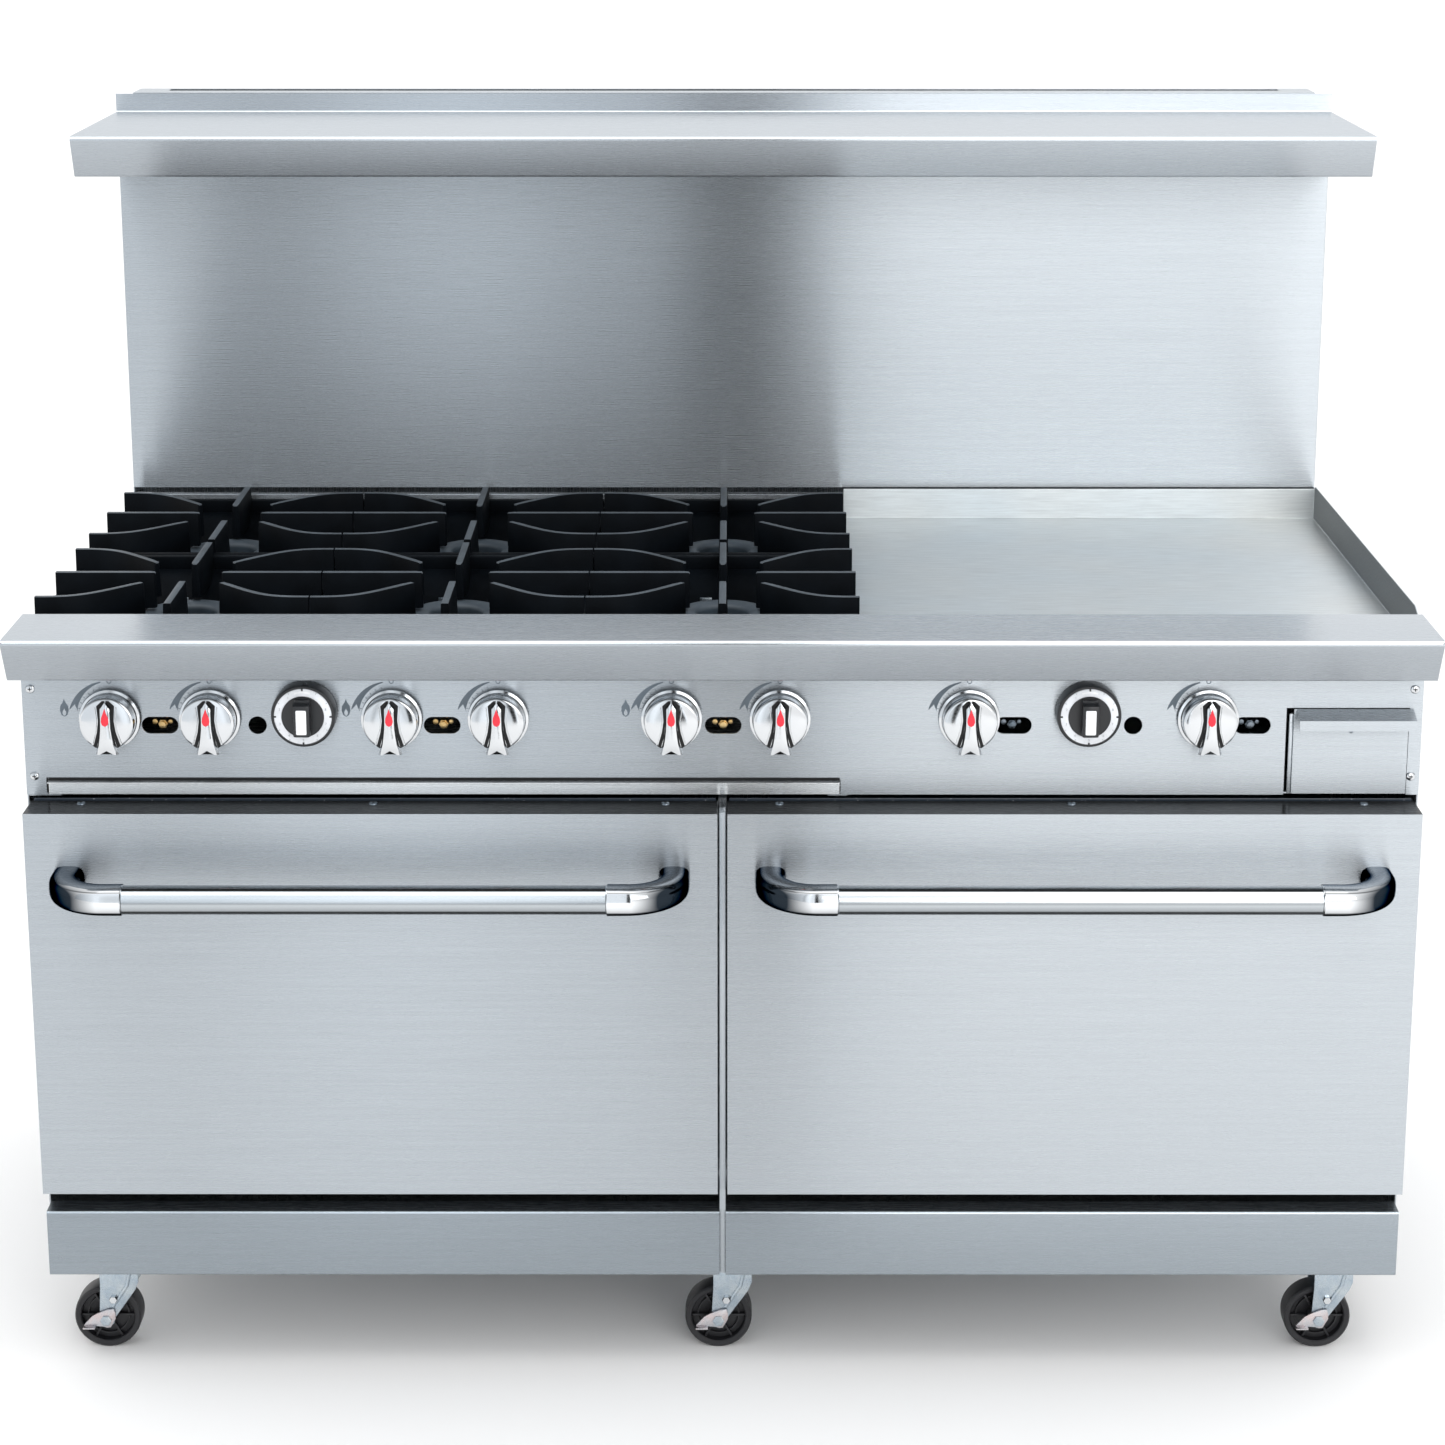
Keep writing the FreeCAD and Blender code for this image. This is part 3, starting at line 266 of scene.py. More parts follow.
def ground_steel(name, colour):
    """The griddle's ground plate: short crossing marks and faint heat clouding.  The faces
    that look sideways, its guard's, are darker: painted shade, darkest where they look to -X."""
    made = Shading(name, colour, metallic=0.82, roughness=0.4)
    along = made.noise(420, (0.05, 1, 1), roughness=0.7)
    across = made.noise(300, (1, 0.1, 1), detail=3)
    heat = made.noise(5)
    cloud = made.mix(made.span(heat, 0, 1), shade(colour, (0.93, 0.97, 1.0)),
                     shade(colour, (1.0, 0.985, 0.965)))
    plate = made.mix(made.span(along, 0, 0.6, 0.35, 0.75), cloud, shade(colour, 0.72))
    # Painted shade on faces that look along X.
    facing = made.facing("X")
    left = made.mix(made.span(facing, 1, 0, -0.9, -0.6), plate, shade(colour, 0.28))
    tone = made.mix(made.span(facing, 0, 1, 0.6, 0.9), left, shade(colour, 0.5))
    return made.finished(tone, made.span(along, 0.34, 0.5),
                         (along, 0.26, 0.0003), (across, 0.08, 0.0003))


# Painted reflection: how bright plating is painted on faces that look down (0) to up (1), as if
# over a dark floor.
PLATING_REFLECTION = [(0.0, 0.12), (0.22, 0.12), (0.36, 0.74), (0.60, 0.86), (0.70, 0.38), (0.80, 0.12),
           (0.90, 1.0), (1.0, 1.0)]
# Painted reflections and highlights for the handle's tube, and below for its elbows, in the same
# way.
TUBE_REFLECTION = [(0.0, 0.04), (0.20, 0.04), (0.26, 0.62), (0.46, 0.80), (0.53, 0.56), (0.60, 0.95),
        (0.72, 1.25), (0.89, 1.25), (0.915, 0.05), (0.955, 0.05), (0.975, 0.6), (1.0, 0.6)]
ELBOW_REFLECTION = [(0.0, 0.03), (0.22, 0.03), (0.30, 0.70), (0.50, 1.0), (0.80, 1.0), (0.85, 0.16),
         (0.89, 0.75), (1.0, 0.75)]


def polished(name, colour, roughness=0.07, waviness=0.006, reflection_tones=PLATING_REFLECTION, ends=1.0):
    """Bright plating, its colour a painted reflection by which way each face looks.  "ends" is
    how bright its faces are that look along X, a painted dark reflection.
    """
    made = Shading(name, colour, metallic=1.0, roughness=roughness)
    # Painted reflection: the colour follows which way a face looks, up or down.
    level = made.span(made.facing("Z"), 0, 1, -1, 1)
    tone = made.ramp(level, [(place, shade(colour, share, 1.0)) for place, share in reflection_tones])
    # Painted dark reflection on faces that look along X, with a dark specular tint that dulls
    # their grazing reflections.
    if ends != 1.0:
        side = made.add("Math", operation="ABSOLUTE")
        made.join(made.facing("X"), side.inputs[0])
        tone = made.mix(made.span(side.outputs["Value"], 0, 1, 0.08, 0.5), tone,
                        shade((0.7, 0.95, 1.25), ends))
        made.plain("Specular Tint", (0.10, 0.13, 0.17, 1))
    waves = made.noise(60, detail=2)
    hair = made.noise(500, (0.04, 1, 1), detail=3)
    return made.finished(tone, made.span(hair, roughness, roughness + 0.05),
                         (waves, waviness, 0.001))


def zinc_plate(name, colour, tint, roughness=0.26):
    """Bright zinc with drifting yellow, pink or blue passivation."""
    made = Shading(name, colour, metallic=1.0, roughness=roughness)
    drift = made.noise(45, roughness=0.6)
    fine = made.noise(900, detail=3)
    return made.finished(made.mix(made.span(drift, 0, 1, 0.35, 0.65), colour, tint),
                         made.span(fine, roughness - 0.06, roughness + 0.14),
                         (fine, 0.1, 0.0002))


def moulded(name, colour, roughness, texture):
    """Moulded plastic or print: a fine even grain."""
    made = Shading(name, colour, roughness=roughness)
    grain = made.noise(1300, detail=3)
    patches = made.noise(30, detail=3)
    return made.finished(made.mix(made.span(patches, 0, 1), colour, shade(colour, 1.5)),
                         made.span(patches, roughness - 0.05, roughness + 0.1),
                         (grain, texture, 0.0003))


def enamel(name, colour, speck):
    """Oven enamel: glossy, dark, with fine pale speckles."""
    made = Shading(name, colour, roughness=0.22)
    cells = made.add("TexVoronoi", Scale=260)
    made.join(made.object_place(), cells.inputs["Vector"])
    dots = made.span(cells.outputs["Distance"], 1, 0, 0.10, 0.2)
    scatter = made.span(made.noise(200, detail=2), 0, 1, 0.52, 0.56)
    made.set("Base Color", made.mix(made.times(dots, scatter), colour, speck))
    made.bump(made.noise(220, detail=2), 0.06, 0.0008)
    return made.material


def painted(name, colour, roughness=0.5):
    """Plain baked paint or dark mill steel with a soft mottle."""
    made = Shading(name, colour, roughness=roughness)
    mottle = made.noise(26)
    fine = made.noise(700, detail=3)
    return made.finished(made.mix(made.span(mottle, 0, 1), shade(colour, 0.75), colour),
                         made.span(fine, roughness - 0.08, roughness + 0.1),
                         (fine, 0.1, 0.0003))


STEEL = (0.452, 0.485, 0.515)
steel_x = brushed_steel("steel_brushed_x", STEEL, "X")
steel_z = brushed_steel("steel_brushed_z", STEEL, "Z")
# Painted shade on the lips of the ledge and the shelf, which look down; painted highlights on
# their bends.
steel_ledge = brushed_steel("steel_ledge", (0.48, 0.515, 0.55), "X", down=0.78)
# Painted shade: the door's top flange is near black, as if it reflected the dark gap under the
# panel; painted highlights on the bends.
steel_door = brushed_steel("steel_door", (0.448, 0.48, 0.51), "X", up=0.11)
# Painted light: the drip tray is about twice as pale as the other steel; painted shade on its
# faces that look up.
steel_tray = brushed_steel("steel_tray", (0.92, 0.95, 0.97), "X", up=0.45)
# Painted light on the drawer's faces that look down, and painted highlights on its bends.
steel_drawer = brushed_steel("steel_drawer", STEEL, "X", down=1.7)
# Painted shade: the kick plates are a darker steel, darker still on faces that look up.
steel_kick = brushed_steel("steel_kick", (0.30, 0.335, 0.365), "X", up=0.4)
steel_dull = brushed_steel("steel_dull", (0.38, 0.40, 0.42), "X", roughness=0.42)
griddle_steel = ground_steel("griddle_ground", (0.72, 0.75, 0.76))
# The grates' tops are paler from near their crowns up: partly wear, partly a painted highlight.
iron = cast_iron("iron_cast", (0.0022, 0.0034, 0.0050), (0.085, 0.105, 0.125),
                 wear_and_highlight_from=0.8665)
# Painted light: the burner castings are a paler iron, lightened for the shade they sit in; their
# tops are paler still, partly wear and partly a painted highlight.
burner_iron = cast_iron("iron_burner", (0.026, 0.036, 0.046), (0.07, 0.09, 0.11), 0.45)
chrome = polished("chrome", (0.80, 0.82, 0.84))
elbow_chrome = polished("elbow_chrome", (0.80, 0.82, 0.84), reflection_tones=ELBOW_REFLECTION, ends=0.03)
tube_steel = polished("handle_tube", (0.60, 0.64, 0.67), 0.2, 0.0, reflection_tones=TUBE_REFLECTION)
zinc = zinc_plate("zinc", (0.34, 0.41, 0.48), (0.50, 0.55, 0.58))
dark_zinc = zinc_plate("zinc_dark", (0.10, 0.13, 0.16), (0.20, 0.23, 0.26))
pink_zinc = zinc_plate("zinc_passivated", (0.60, 0.50, 0.49), (0.50, 0.53, 0.56))
wire_chrome = polished("rack_plating", (0.70, 0.72, 0.74), 0.16)
brass = zinc_plate("brass", (0.62, 0.40, 0.16), (0.75, 0.56, 0.28), 0.3)
black_plastic = moulded("plastic_black", (0.010, 0.011, 0.013), 0.3, 0.05)
wheel_plastic = moulded("plastic_wheel", (0.006, 0.006, 0.008), 0.45, 0.2)
ring_white = moulded("dial_ring_white", (0.62, 0.64, 0.67), 0.3, 0.03)
insert_grey = moulded("grip_insert", (0.72, 0.73, 0.75), 0.35, 0.03)
mark_grey = moulded("print_grey", (0.085, 0.11, 0.135), 0.5, 0.02)
number_grey = moulded("number_grey", (0.30, 0.32, 0.34), 0.5, 0.02)
mark_red = moulded("mark_red", (0.62, 0.012, 0.03), 0.3, 0.02)
oven_enamel = enamel("oven_enamel", (0.030, 0.040, 0.055), (0.45, 0.48, 0.52))
dark_steel = painted("dark_mill_steel", (0.055, 0.06, 0.066))
# Painted shadow: a near black for holes, gaps, slots and grooves, where there is only shade.
painted_shadow_black = painted("shadow_black", (0.006, 0.006, 0.007), 0.8)


# ---- mesh helpers
def new_object(name, data):
    made = bpy.data.objects.new(name, data)
    bpy.context.scene.collection.objects.link(made)
    return made


class Piece:
    """A mesh made of closed parts, each with its material, turned into one object."""

    def __init__(self, name):
        self.name = name
        self.whole = bmesh.new()
        self.materials = []

    def take(self, part, material, place=None):
        """Adds a part, moved by a matrix, and frees it."""
        if material not in self.materials:
            self.materials.append(material)
        for face in part.faces:
            face.material_index = self.materials.index(material)
        if place is not None:
            part.transform(place)
        bmesh.ops.recalc_face_normals(part, faces=part.faces)
        carrier = bpy.data.meshes.new("carrier")
        part.to_mesh(carrier)
        part.free()
        self.whole.from_mesh(carrier)
        bpy.data.meshes.remove(carrier)

    def done(self, body, slot, replaces=(), sharp=32, place=None, mesh=None):
        """The object: smooth faces with sharp edges past an angle, riding on its body.
        It has this piece's mesh, or another that was made before."""
        if mesh is None:
            for face in self.whole.faces:
                face.smooth = True
            for edge in self.whole.edges:
                edge.smooth = edge.is_manifold and edge.calc_face_angle(0) < radians(sharp)
            mesh = bpy.data.meshes.new(self.name)
            self.whole.to_mesh(mesh)
            for material in self.materials:
                mesh.materials.append(material)
        self.whole.free()
        made = new_object(self.name, mesh)
        if place is not None:
            made.matrix_world = place
        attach(made, body)
        if replaces:
            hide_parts(*replaces)
        return made


class Shared:
    """One mesh for several objects, made for the first of them."""

    def __init__(self, make):
        self.make = make
        self.mesh = None

    def put(self, node, body, slot, place, *shape, sharp=32):
        piece = Piece(node) if self.mesh else self.make(*shape)
        made = piece.done(body, slot, [node], sharp, place, self.mesh)
        made.name = node + "_look"
        self.mesh = made.data


def rounded_edges(part, bevel, steps):
    if bevel:
        bmesh.ops.bevel(part, geom=part.edges[:], offset=bevel * MM, segments=steps,
                        profile=0.5, affect="EDGES", clamp_overlap=True)
    return part


def box_part(low, high, bevel=0.0, steps=2):
    """A block between two corners with rounded edges."""
    part = bmesh.new()
    bmesh.ops.create_cube(part, size=1)
    low, high = Vector(low) * MM, Vector(high) * MM
    part.transform(Matrix.Translation((low + high) / 2) @ Matrix.Diagonal((*(high - low), 1)))
    return rounded_edges(part, bevel, steps)


def circle(count, radius=1):
    """Points round a circle."""
    turns = [2 * pi * i / count for i in range(count)]
    return [(radius * cos(turn), radius * sin(turn)) for turn in turns]


def vertices(part, points):
    return [part.verts.new([c * MM for c in point]) for point in points]


def skin(part, rings):
    """Faces from each ring of vertices to the next; a ring can be one vertex on the axis."""
    for first, second in zip(rings, rings[1:]):
        count = max(len(first), len(second))
        for i in range(count):
            j = (i + 1) % count
            if len(first) == 1:
                part.faces.new((first[0], second[i], second[j]))
            elif len(second) == 1:
                part.faces.new((first[i], first[j], second[0]))
            else:
                part.faces.new((first[i], first[j], second[j], second[i]))


def lathe_part(profile, steps=64):
    """A turned solid about Z from (radius, height) points, which start and end on the axis,
    or at the same point."""
    part = bmesh.new()
    looped = profile[0] == profile[-1]
    rings = [vertices(part, [(x, y, height) for x, y in circle(steps if radius else 1, radius)])
             for radius, height in (profile[:-1] if looped else profile)]
    skin(part, rings + rings[:1] if looped else rings)
    return part


def rod_part(radius, length, steps):
    return lathe_part([(0, 0), (radius, 0), (radius, length), (0, length)], steps)


def prism_part(outline, depth, bevel=0.0, steps=2):
    """An outline in X and Z, thickened towards the back from Y = 0."""
    part = bmesh.new()
    face = part.faces.new(vertices(part, [(x, 0, z) for x, z in outline]))
    moved = bmesh.ops.extrude_face_region(part, geom=[face])
    verts = [item for item in moved["geom"] if isinstance(item, bmesh.types.BMVert)]
    bmesh.ops.translate(part, vec=(0, depth * MM, 0), verts=verts)
    return rounded_edges(part, bevel, steps)


def loft_part(rings, looped=False):
    """A skin over rings of points, capped at both ends or looped back to the first."""
    part = bmesh.new()
    made = [vertices(part, ring) for ring in rings]
    skin(part, made + made[:1] if looped else made)
    if not looped:
        part.faces.new(made[0][::-1])
        part.faces.new(made[-1])
    return part


def slab_part(outline, low_x, high_x):
    """An outline in Y and Z, run along X."""
    return loft_part([[(x, y, z) for y, z in outline] for x in (low_x, high_x)])


def tube_part(points, radius, sides=16):
    """A round bar through points, mitred at each."""
    rings = []
    points = [Vector(point) for point in points]
    for i, point in enumerate(points):
        along = (points[min(i + 1, len(points) - 1)] - points[max(i - 1, 0)]).normalized()
        side = along.cross(Vector((0, 0, 1)))
        if side.length < 0.1:
            side = along.cross(Vector((0, 1, 0)))
        side.normalize()
        up = side.cross(along)
        rings.append([point + side * out + up * rise for out, rise in circle(sides, radius)])
    return loft_part(rings)


def rounded_corner(before, corner, after, radius, steps=5):
    """Points round a corner of a flat outline."""
    first = (before - corner).normalized()
    second = (after - corner).normalized()
    half = acos(max(-1, min(1, first.dot(second)))) / 2
    if half > radians(89):
        return [corner]
    reach = radius / tan(half)
    start, end = corner + first * reach, corner + second * reach
    centre = corner + (first + second).normalized() * (radius / sin(half))
    chords = [start.lerp(end, k / steps) - centre for k in range(steps + 1)]
    return [centre + chord.normalized() * radius for chord in chords]


def folded_part(line, thickness, bend, low_x, high_x):
    """Sheet metal: a line in (Y, Z), thickened to its left, bent round and run along X."""
    line = [Vector(point) for point in line]

    def shifted(distance):
        """The line moved to its left, corners mitred."""
        moved = []
        runs = [(b - a).normalized() for a, b in zip(line, line[1:])]
        for i, point in enumerate(line):
            normals = [Vector((-run.y, run.x)) for run in runs[max(i - 1, 0):i + 1]]
            mean = sum(normals, Vector((0, 0))).normalized()
            moved.append(point + mean * (distance / max(0.2, mean.dot(normals[0]))))
        return moved

    def rounded(points, inner):
        out = [points[0]]
        for before, point, after in zip(points, points[1:], points[2:]):
            outside = ((point - before).cross(after - point) > 0) != inner
            out += rounded_corner(before, point, after, bend + thickness if outside else bend)
        return out + [points[-1]]

    outline = rounded(shifted(0), False) + rounded(shifted(thickness), True)[::-1]
    return slab_part(outline, low_x, high_x)


def mirrored(half):
    """Half a section, right of X = 0, and its mirror image before it, as one ring."""
    return [(-x, *rest) for x, *rest in half] + half[::-1]


def cad_look(node, material, bevel, steps=2):
    """Keeps a CAD node: a material, and fine rounding of its sharp edges."""
    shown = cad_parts[node]
    if not shown.material_slots:
        shown.data.materials.append(material)
    for slot in shown.material_slots:
        slot.material = material
    if bevel:
        weld = shown.modifiers.new("weld", "WELD")
        weld.merge_threshold = 0.01 * MM
        flat = shown.modifiers.new("flat_faces", "DECIMATE")
        flat.decimate_type = "DISSOLVE"
        flat.angle_limit = radians(0.6)
        rounding = shown.modifiers.new("rounding", "BEVEL")
        rounding.width = bevel * MM
        rounding.segments = steps
        rounding.limit_method = "ANGLE"
        rounding.angle_limit = radians(40)
        rounding.harden_normals = True
        shading = shown.modifiers.new("shading", "WEIGHTED_NORMAL")
        shading.keep_sharp = True


# ---- sheet metal
SHEET = 2    # thickness of the ledge and the shelf


def front_ledge():
    """The plate ledge with its bent lip and welded ends."""
    low, high = box("front_ledge")
    lip_bottom = box("control_panel")[1].z
    lip_y = low.y + 27.2
    line = [(high.y, low.z), (high.y, high.z), (low.y, high.z), (lip_y, lip_bottom),
            (PANEL_Y, lip_bottom)]
    piece = Piece("front_ledge_sheet")
    piece.take(folded_part(line, SHEET, 2, low.x, high.x), steel_ledge)
    end = [(low.y + 2, high.z - SHEET), (lip_y + SHEET, lip_bottom + 1),
           (high.y - SHEET, lip_bottom + 1), (high.y - SHEET, high.z - SHEET)]
    for x in (low.x, high.x - SHEET):
        piece.take(slab_part(end, x, x + SHEET), steel_ledge)
    piece.done("range", "stainless", ["front_ledge"])


def high_shelf():
    """The high shelf with lip, upstand and end gussets."""
    low, high = box("high_shelf")
    top = 1344.3
    lip_bottom = top - 49.4
    lip_y = low.y + 20.2
    back = high.y - SHEET
    line = [(back, high.z), (back, top), (low.y, top), (lip_y, lip_bottom),
            (lip_y + 14, lip_bottom)]
    piece = Piece("high_shelf_sheet")
    piece.take(folded_part(line, SHEET, 2, low.x, high.x), steel_ledge)
    gusset = [(low.y + 3, top - SHEET), (lip_y + SHEET, lip_bottom + 1), (back, low.z),
              (back, top - SHEET)]
    for x in (low.x + 0.2, high.x - SHEET - 0.2):
        piece.take(slab_part(gusset, x, x + SHEET), steel_ledge)
    piece.done("range", "stainless", ["high_shelf"])


def kick_plates():
    """Two folded kick plates."""
    low, high = box("kick_plates")
    metal, half_gap = 1.5, 3.35
    piece = Piece("kick_plate_sheets")
    for x0, x1 in ((low.x, -half_gap), (half_gap, high.x)):
        line = [(high.y, high.z), (low.y, high.z), (low.y, low.z), (high.y, low.z)]
        piece.take(folded_part(line, metal, 1.5, x0, x1), steel_kick)
        end = x0 if x0 < 0 else x1 - metal
        piece.take(box_part((end, low.y + metal, low.z + metal),
                            (end + metal, high.y, high.z - metal)), steel_kick)
    piece.done("range", "stainless", ["kick_plates"])


def small_strips():
    """The light post between the doors, painted shadow lines over the drip tray and down its
    left side, the drawer's flange.
    """
    door_low, door_high = box("door_shell_right")
    half = 3.4
    post = Piece("centre_post")
    post.take(box_part((-half, door_low.y + 6, box("kick_plates")[0].z + 2),
                       (half, door_low.y + 26, door_high.z), 0.6), steel_z)
    post.done("range", "stainless")
    low, high = box("drip_tray")
    # Painted shadow: black strips where the gaps round the drip tray are.
    line = Piece("drip_tray_gap")
    for left, right, bottom in ((low.x, high.x, high.z + 0.4),
                                (low.x - 2.4, low.x - 0.4, low.z + 2)):
        line.take(box_part((left, PANEL_Y - 0.3, bottom), (right, PANEL_Y + 1, high.z + 3.2)),
                  painted_shadow_black)
    line.done("range", "dark_steel")
    low, high = box("grease_drawer")
    edge = Piece("drawer_flange")
    edge.take(box_part((low.x - 4.6, PANEL_Y + 0.4, low.z),
                       (low.x + 0.5, PANEL_Y + 1.9, high.z - 6), 0.4), steel_x)
    edge.done("grease_drawer_body", "stainless")


# ---- controls
PRINT = 0.25    # how far the printed marks stand out
PANEL_DROP = [(0, 13), (1.5, 9), (4.2, 5), (4.8, 0), (3.2, -5), (0, -7), (-3.2, -5), (-4.8, 0),
              (-4.2, 5), (-1.5, 9)]
KNOB_DROP = [(0, 19), (1.5, 14.5), (3.7, 9), (4.2, 4.6), (3.1, 1.0), (0, -0.8), (-3.1, 1.0),
             (-4.2, 4.6), (-3.7, 9), (-1.5, 14.5)]
KNOB_NODES = (["burner_knob_%d" % number for number in range(1, 7)]
              + ["griddle_knob_%d" % number for number in (1, 2)])


def panel_marks():
    """Printed marks on the panel: a tapering arc by each knob and a plain drop shape."""
    piece = Piece("panel_marks")
    face = PANEL_Y - PRINT
    for node in KNOB_NODES:
        x, z = middle(node).x, KNOB_Z
        outer, inner = [], []
        for k in range(25):
            angle = radians(103 + 62 * k / 24)
            half = (1.0 + 7.5 * k / 24) / 2
            for points, reach in ((outer, 41 + half), (inner, 41 - half)):
                points.append((x + reach * cos(angle), z + reach * sin(angle)))
        (x0, z0), (x1, z1) = outer[-1], inner[-1]
        tail = [(x0 - 0.6, z0 - 3), ((x0 + x1) / 2 + 1.2, (z0 + z1) / 2 + 4.5),
                (x1 + 0.6, z1 - 3)]
        piece.take(prism_part(outer + tail + inner[::-1], PRINT), mark_grey, at(0, face, 0))
        for degrees in range(108, 164, 11):
            angle = radians(degrees)
            spot = at(x + 35.3 * cos(angle), face, z + 35.3 * sin(angle))
            piece.take(box_part((-0.25, 0, -1.2), (0.25, PRINT, 1.2)), mark_grey,
                       spot @ turned(90 - degrees, "Y"))
        if node in ("burner_knob_1", "burner_knob_3", "burner_knob_5"):
            for scale, metal, proud, lower in ((1, mark_grey, 1, 0), (0.42, steel_x, 1.4, 3)):
                shape = prism_part([(u * scale, v * scale) for u, v in PANEL_DROP], PRINT)
                piece.take(shape, metal, at(x - 50, PANEL_Y - PRINT * proud, z + 8 - lower))
        ring = [(1.9, 0), (2.6, 0), (2.6, PRINT), (1.9, PRINT), (1.9, 0)]
        piece.take(lathe_part(ring, 32), mark_grey, at(x, face, z + 41) @ TO_BACK)
    piece.done("range", "stainless")


def knob_mesh():
    """A chrome knob facing -Y about its own axis: skirt, disc, grooves and fishtail grip."""
    piece = Piece("knob")
    disc = [(0, 0), (33, 0), (33.4, 1.2), (33, 2.4), (30.4, 3.2), (29.6, 4.5), (29.2, 18.5),
            (28.9, 19.6), (28.0, 20.4), (26, 20.9), (16, 21.5), (0, 21.9)]
    piece.take(lathe_part(disc, 96), chrome, at(0, -5, 0) @ TO_FRONT)
    for side in (-1, 1):
        groove = [(side * x, z) for x, z in (
            (0.4, 26.4), (3.6, 26.2), (9.6, 20.6), (9.2, 15), (8.4, 4), (10.2, -9),
            (14.6, -24.4), (11.4, -26.6), (7.8, -14), (6.0, 2), (6.2, 15), (3.4, 20))]
        # Painted shadow: each groove is a thin black shape on the disc.
        piece.take(prism_part(groove, 0.6), painted_shadow_black, at(0, -27.1, 0))
        ridge = [(side * x, z) for x, z in (
            (11.2, 19.4), (12.0, 18.6), (10.4, 4), (12.0, -8), (16.4, -22.8), (15.4, -23.4),
            (11.0, -8), (9.6, 4))]
        piece.take(prism_part(ridge, 0.5, 0.2, 1), chrome, at(0, -27.5, 0))
    piece.take(grip_part(), chrome)
    piece.take(prism_part(KNOB_DROP, 0.5), mark_red, at(0, -32.9, 0))
    piece.take(rod_part(3.5, 20, 24), chrome, at(0, 15, 0) @ TO_FRONT)
    return piece


def grip_part():
    """The raised grip: a peaked top, pinched waist and a tail that spreads past the disc."""
    half_widths = [(25.0, 0.5), (22, 3.4), (18.5, 6.2), (13, 6.2), (6, 6.1), (-4, 6.5),
                   (-14, 7.8), (-22, 9.4), (-28, 11.2), (-33.5, 12.6)]
    rings = []
    for z, half in half_widths:
        share = (25.5 - z) / 59.0
        base, crest = -24, -30.2 - 2.2 * min(1, share * 4) + 12 * max(0.0, share - 0.8)
        inner = half * 0.82
        notch = z + 45 * max(0.0, share - 0.9)
        rings.append([(-half, base, z), (-half, (base + crest) / 2, z), (-inner, crest + 0.5, z),
                      (-inner * 0.8, crest, z), (0, crest - 0.2, notch),
                      (inner * 0.8, crest, z), (inner, crest + 0.5, z),
                      (half, (base + crest) / 2, z), (half, base, z), (0, base, notch)])
    return loft_part(rings)


def knobs():
    """All gas knobs share one mesh."""
    shared = Shared(knob_mesh)
    for node in KNOB_NODES:
        shared.put(node, node + "_body", "chrome", at(middle(node).x, PANEL_Y, KNOB_Z),
                   sharp=28)


def dials():
    """The two oven thermostat dials."""
    for side in SIDES:
        node = "thermostat_dial_" + side
        x = middle(node).x
        piece = Piece(node + "_look")
        for profile, material in (
                ([(0, 1), (34, 1), (35, 2.5), (35, 18.5), (34.4, 20.4), (33.2, 21.2),
                  (0, 21.2)], black_plastic),
                ([(0, 20), (31.2, 20), (31.2, 22), (30.6, 22.6), (23.4, 22.9), (23.0, 22.4),
                  (0, 22.4)], ring_white),
                ([(0, 21), (22.9, 21), (22.9, 23.4), (22.2, 23.9), (17.5, 23.5), (0, 23.2)],
                 black_plastic)):
            piece.take(lathe_part(profile, 96), material, TO_FRONT)
        for degrees in range(0, 360, 90):
            notch = box_part((-0.9, -23.4, 28.9), (0.9, -21, 31.6), 0.3)
            piece.take(notch, black_plastic, turned(degrees, "Y"))
        for degrees in range(30, 360, 30):
            tick = box_part((-0.3, -23.1, 28.9), (0.3, -22, 30.6))
            piece.take(tick, number_grey, turned(degrees, "Y"))
        piece.take(dial_grip(9, -37.2), black_plastic)
        piece.take(prism_part(rounded_outline(5.6, 13.6, 1.2), 1.2, 0.3), insert_grey,
                   at(0, -37.9, -2.4))
        turns = [radians(degrees) for degrees in range(-18, 19, 6)]
        cap = [(28.6 * sin(turn), 28.6 * cos(turn)) for turn in turns]
        cap += [(x * 0.93, z * 0.93) for x, z in cap[::-1]]
        piece.take(prism_part(cap, 0.3), insert_grey, at(0, -23.1, 0))
        piece.done(node + "_body", "black_plastic", [node], place=at(x, PANEL_Y, DIAL_Z))
        numerals(node, x)


def dial_grip(half, crest):
    """The dial's bar: upright sides, a rounded sloping top end and a rounded lower end."""
    rings = []
    base = -21
    for z, share, width in ((20.4, 0.0, 0.55), (20.0, 0.2, 0.8), (19.0, 0.5, 0.95),
                            (17.0, 0.86, 1.0), (15.5, 0.97, 1.0), (13.5, 1.0, 1.0),
                            (-16.5, 1.0, 1.0), (-18.8, 0.97, 0.95), (-20.0, 0.8, 0.82),
                            (-20.4, 0.0, 0.7)):
        front = base + (crest - base) * max(share, 0.08)
        side = half * width
        rings.append(mirrored([(side, base, z), (side, front + 1.2 * share, z),
                               (side - 0.5, front + 0.4 * share, z), (side - 1.3, front, z)]))
    return loft_part(rings)


def rounded_outline(half_width, half_height, corner, steps=8):
    """An outline with rounded corners, as X and Z pairs."""
    points = []
    for quarter, (sx, sz) in enumerate(((1, 1), (-1, 1), (-1, -1), (1, -1))):
        for k in range(steps + 1):
            angle = radians(90 * quarter + 90 * k / steps)
            points.append((sx * (half_width - corner) + corner * cos(angle),
                           sz * (half_height - corner) + corner * sin(angle)))
    return points


